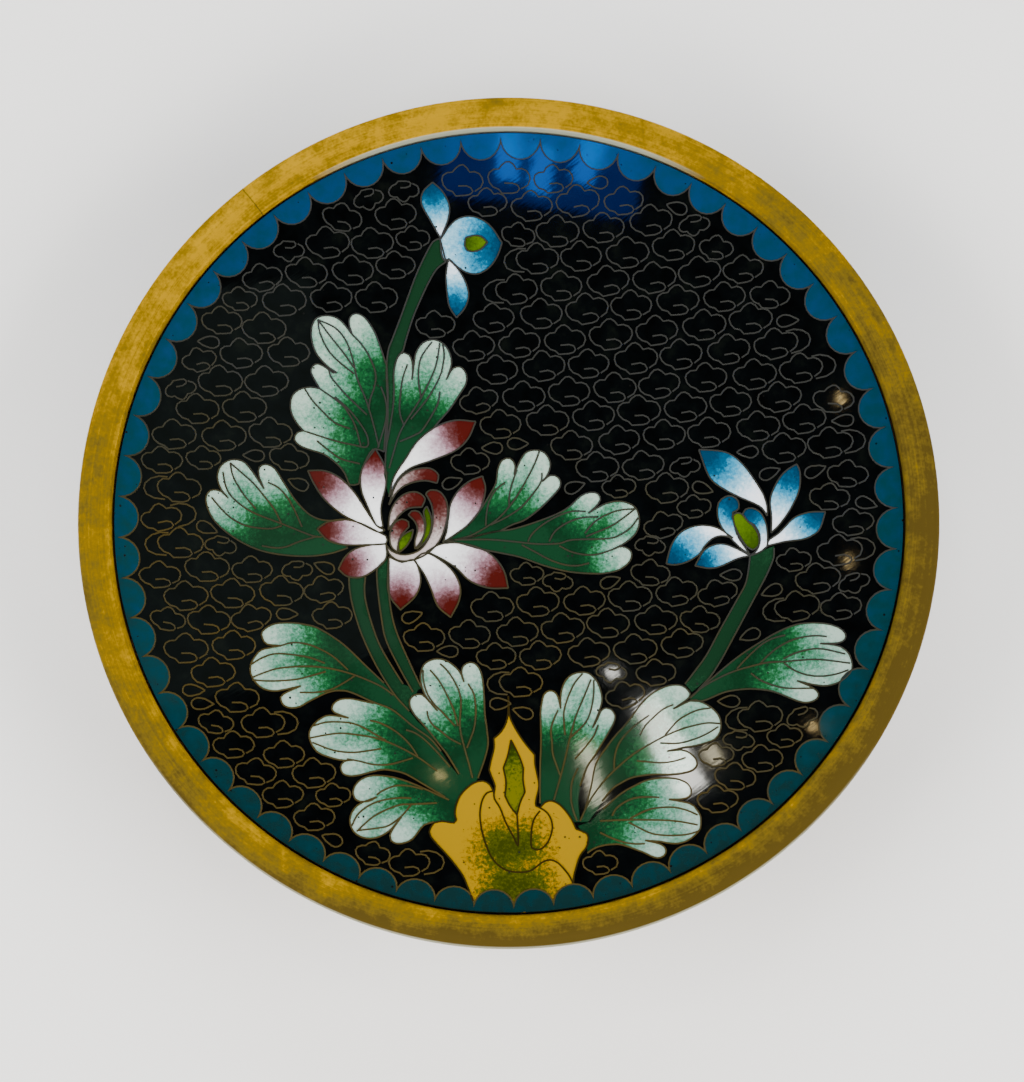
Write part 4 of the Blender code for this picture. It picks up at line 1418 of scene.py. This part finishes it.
def on_outside(place, lift=0.0):
    """The point of the bowl's outer face at a place in plan, or that much below it."""
    sphere = outer_face + lift
    return (place[0], place[1], curve_centre - math.sqrt(sphere**2 - place[0] ** 2 - place[1] ** 2))


outer_lines = []
for ring in range(OUTER_RINGS):
    ring_radius = foot_radius + OUTER_FIRST_RING + ring * OUTER_RING_STEP
    clouds = round(math.tau * ring_radius / CLOUD_PITCH)
    for number in range(clouds):
        turn = math.tau * (number + ring % 2 / 2) / clouds
        centre = Matrix.Rotation(turn, 2) @ Vector((0, ring_radius))
        outer_lines.append(bent(cloud_path, centre, CLOUD_WIDTH, CLOUD_HEIGHT, turn))
wires("outer_clouds", outer_lines, brass_wire, raised=on_outside)
bpy.data.objects.remove(wire_section)

# Studio: a plain pale floor and soft light. Wide lights that aren't mirrored fill the dish. Small softboxes
# stand where the bowl mirrors them: a window over the leaves by the rock, a blue glow at the far edge, lamps.
bpy.ops.mesh.primitive_plane_add(size=6.0, location=(0, 0, 0))
floor = bpy.context.object
floor.name = "floor"
floor_white, _, _ = new_material("floor_white", (0.86, 0.86, 0.86), 0.9)
floor.data.materials.append(floor_white)


def soft_light(name, azimuth, elevation, distance, width, height, power, colour):
    """A softbox that faces the dish from an azimuth and an elevation, in degrees."""
    a, e = math.radians(azimuth), math.radians(elevation)
    towards = Vector((math.cos(a) * math.cos(e), math.sin(a) * math.cos(e), math.sin(e)))
    bpy.ops.object.light_add(type="AREA", location=towards * distance)
    light = bpy.context.object
    light.name = name
    light.data.shape = "RECTANGLE"
    light.data.size, light.data.size_y = width, height
    light.data.energy = power
    light.data.color = colour
    light.rotation_mode = "QUATERNION"
    light.rotation_quaternion = towards.to_track_quat("Z", "Y")
    return light


GLINT_DISTANCE = 0.9
WINDOW_PIXEL, WINDOW_LEFT_PIXEL = (670, 745), (590, 775)
WINDOW_TOP_PIXEL, WINDOW_RIGHT_PIXEL = (612, 672), (712, 755)
BLUE_PANEL_PIXEL = (540, 172)
BLUE_BAR_PIXELS = [(508, 158), (541, 170), (588, 160)]
LAMP_PIXELS = [(840, 400), (850, 560), (815, 725), (440, 775)]


def glint(name, pixel, width, height, power, colour):
    """A small softbox that stands where the bowl mirrors it at a pixel of the photograph."""
    place = Vector(on_bowl(under_pixel(pixel)))
    upright = (centre_of_curve - place).normalized()
    seen = (place - view_from).normalized()
    towards = seen - upright * 2 * seen.dot(upright)
    light = soft_light(name, 0, 0, GLINT_DISTANCE, width, height, power, colour)
    light.location = place + towards * GLINT_DISTANCE
    light.rotation_quaternion = towards.to_track_quat("Z", "Y")


glint("window", WINDOW_PIXEL, 0.034, 0.14, 0.42, (1.0, 0.99, 0.90))
glint("window_left", WINDOW_LEFT_PIXEL, 0.016, 0.09, 0.08, (1.0, 0.95, 0.70))
glint("window_top", WINDOW_TOP_PIXEL, 0.014, 0.014, 0.018, (1.0, 0.98, 0.90))
glint("window_right", WINDOW_RIGHT_PIXEL, 0.014, 0.024, 0.016, (1.0, 0.90, 0.60))
glint("blue_panel", BLUE_PANEL_PIXEL, 0.26, 0.09, 0.14, (0.0, 0.12, 1.0))
for number, pixel in enumerate(BLUE_BAR_PIXELS):
    glint(f"blue_bar_{number}", pixel, 0.03, 0.06, 0.06, (0.0, 0.24, 1.0))
for number, pixel in enumerate(LAMP_PIXELS):
    glint(f"lamp_{number}", pixel, 0.012, 0.006, 0.006, (1.0, 0.72, 0.30))
soft_light("room", 15, 62, 1.0, 0.6, 0.5, 0.15, (0.75, 1.0, 0.85))
fill_lights = [
    soft_light("side_left", 190, 32, 1.1, 1.0, 0.6, 25.0, (1.0, 0.97, 0.92)),
    soft_light("side_right", -15, 32, 1.1, 1.0, 0.6, 25.0, (1.0, 0.97, 0.92)),
    soft_light("front", -90, 30, 1.1, 1.0, 0.6, 16.0, (1.0, 0.95, 0.85)),
    soft_light("back", 90, 25, 1.2, 1.2, 0.5, 16.0, (0.85, 0.93, 1.0)),
]
for light in fill_lights:
    light.visible_glossy = False

world = bpy.data.worlds.new("studio")
bpy.context.scene.world = world
world.use_nodes = True
world.node_tree.nodes["Background"].inputs["Color"].default_value = (0.9, 0.93, 1.0, 1.0)
world.node_tree.nodes["Background"].inputs["Strength"].default_value = 0.03
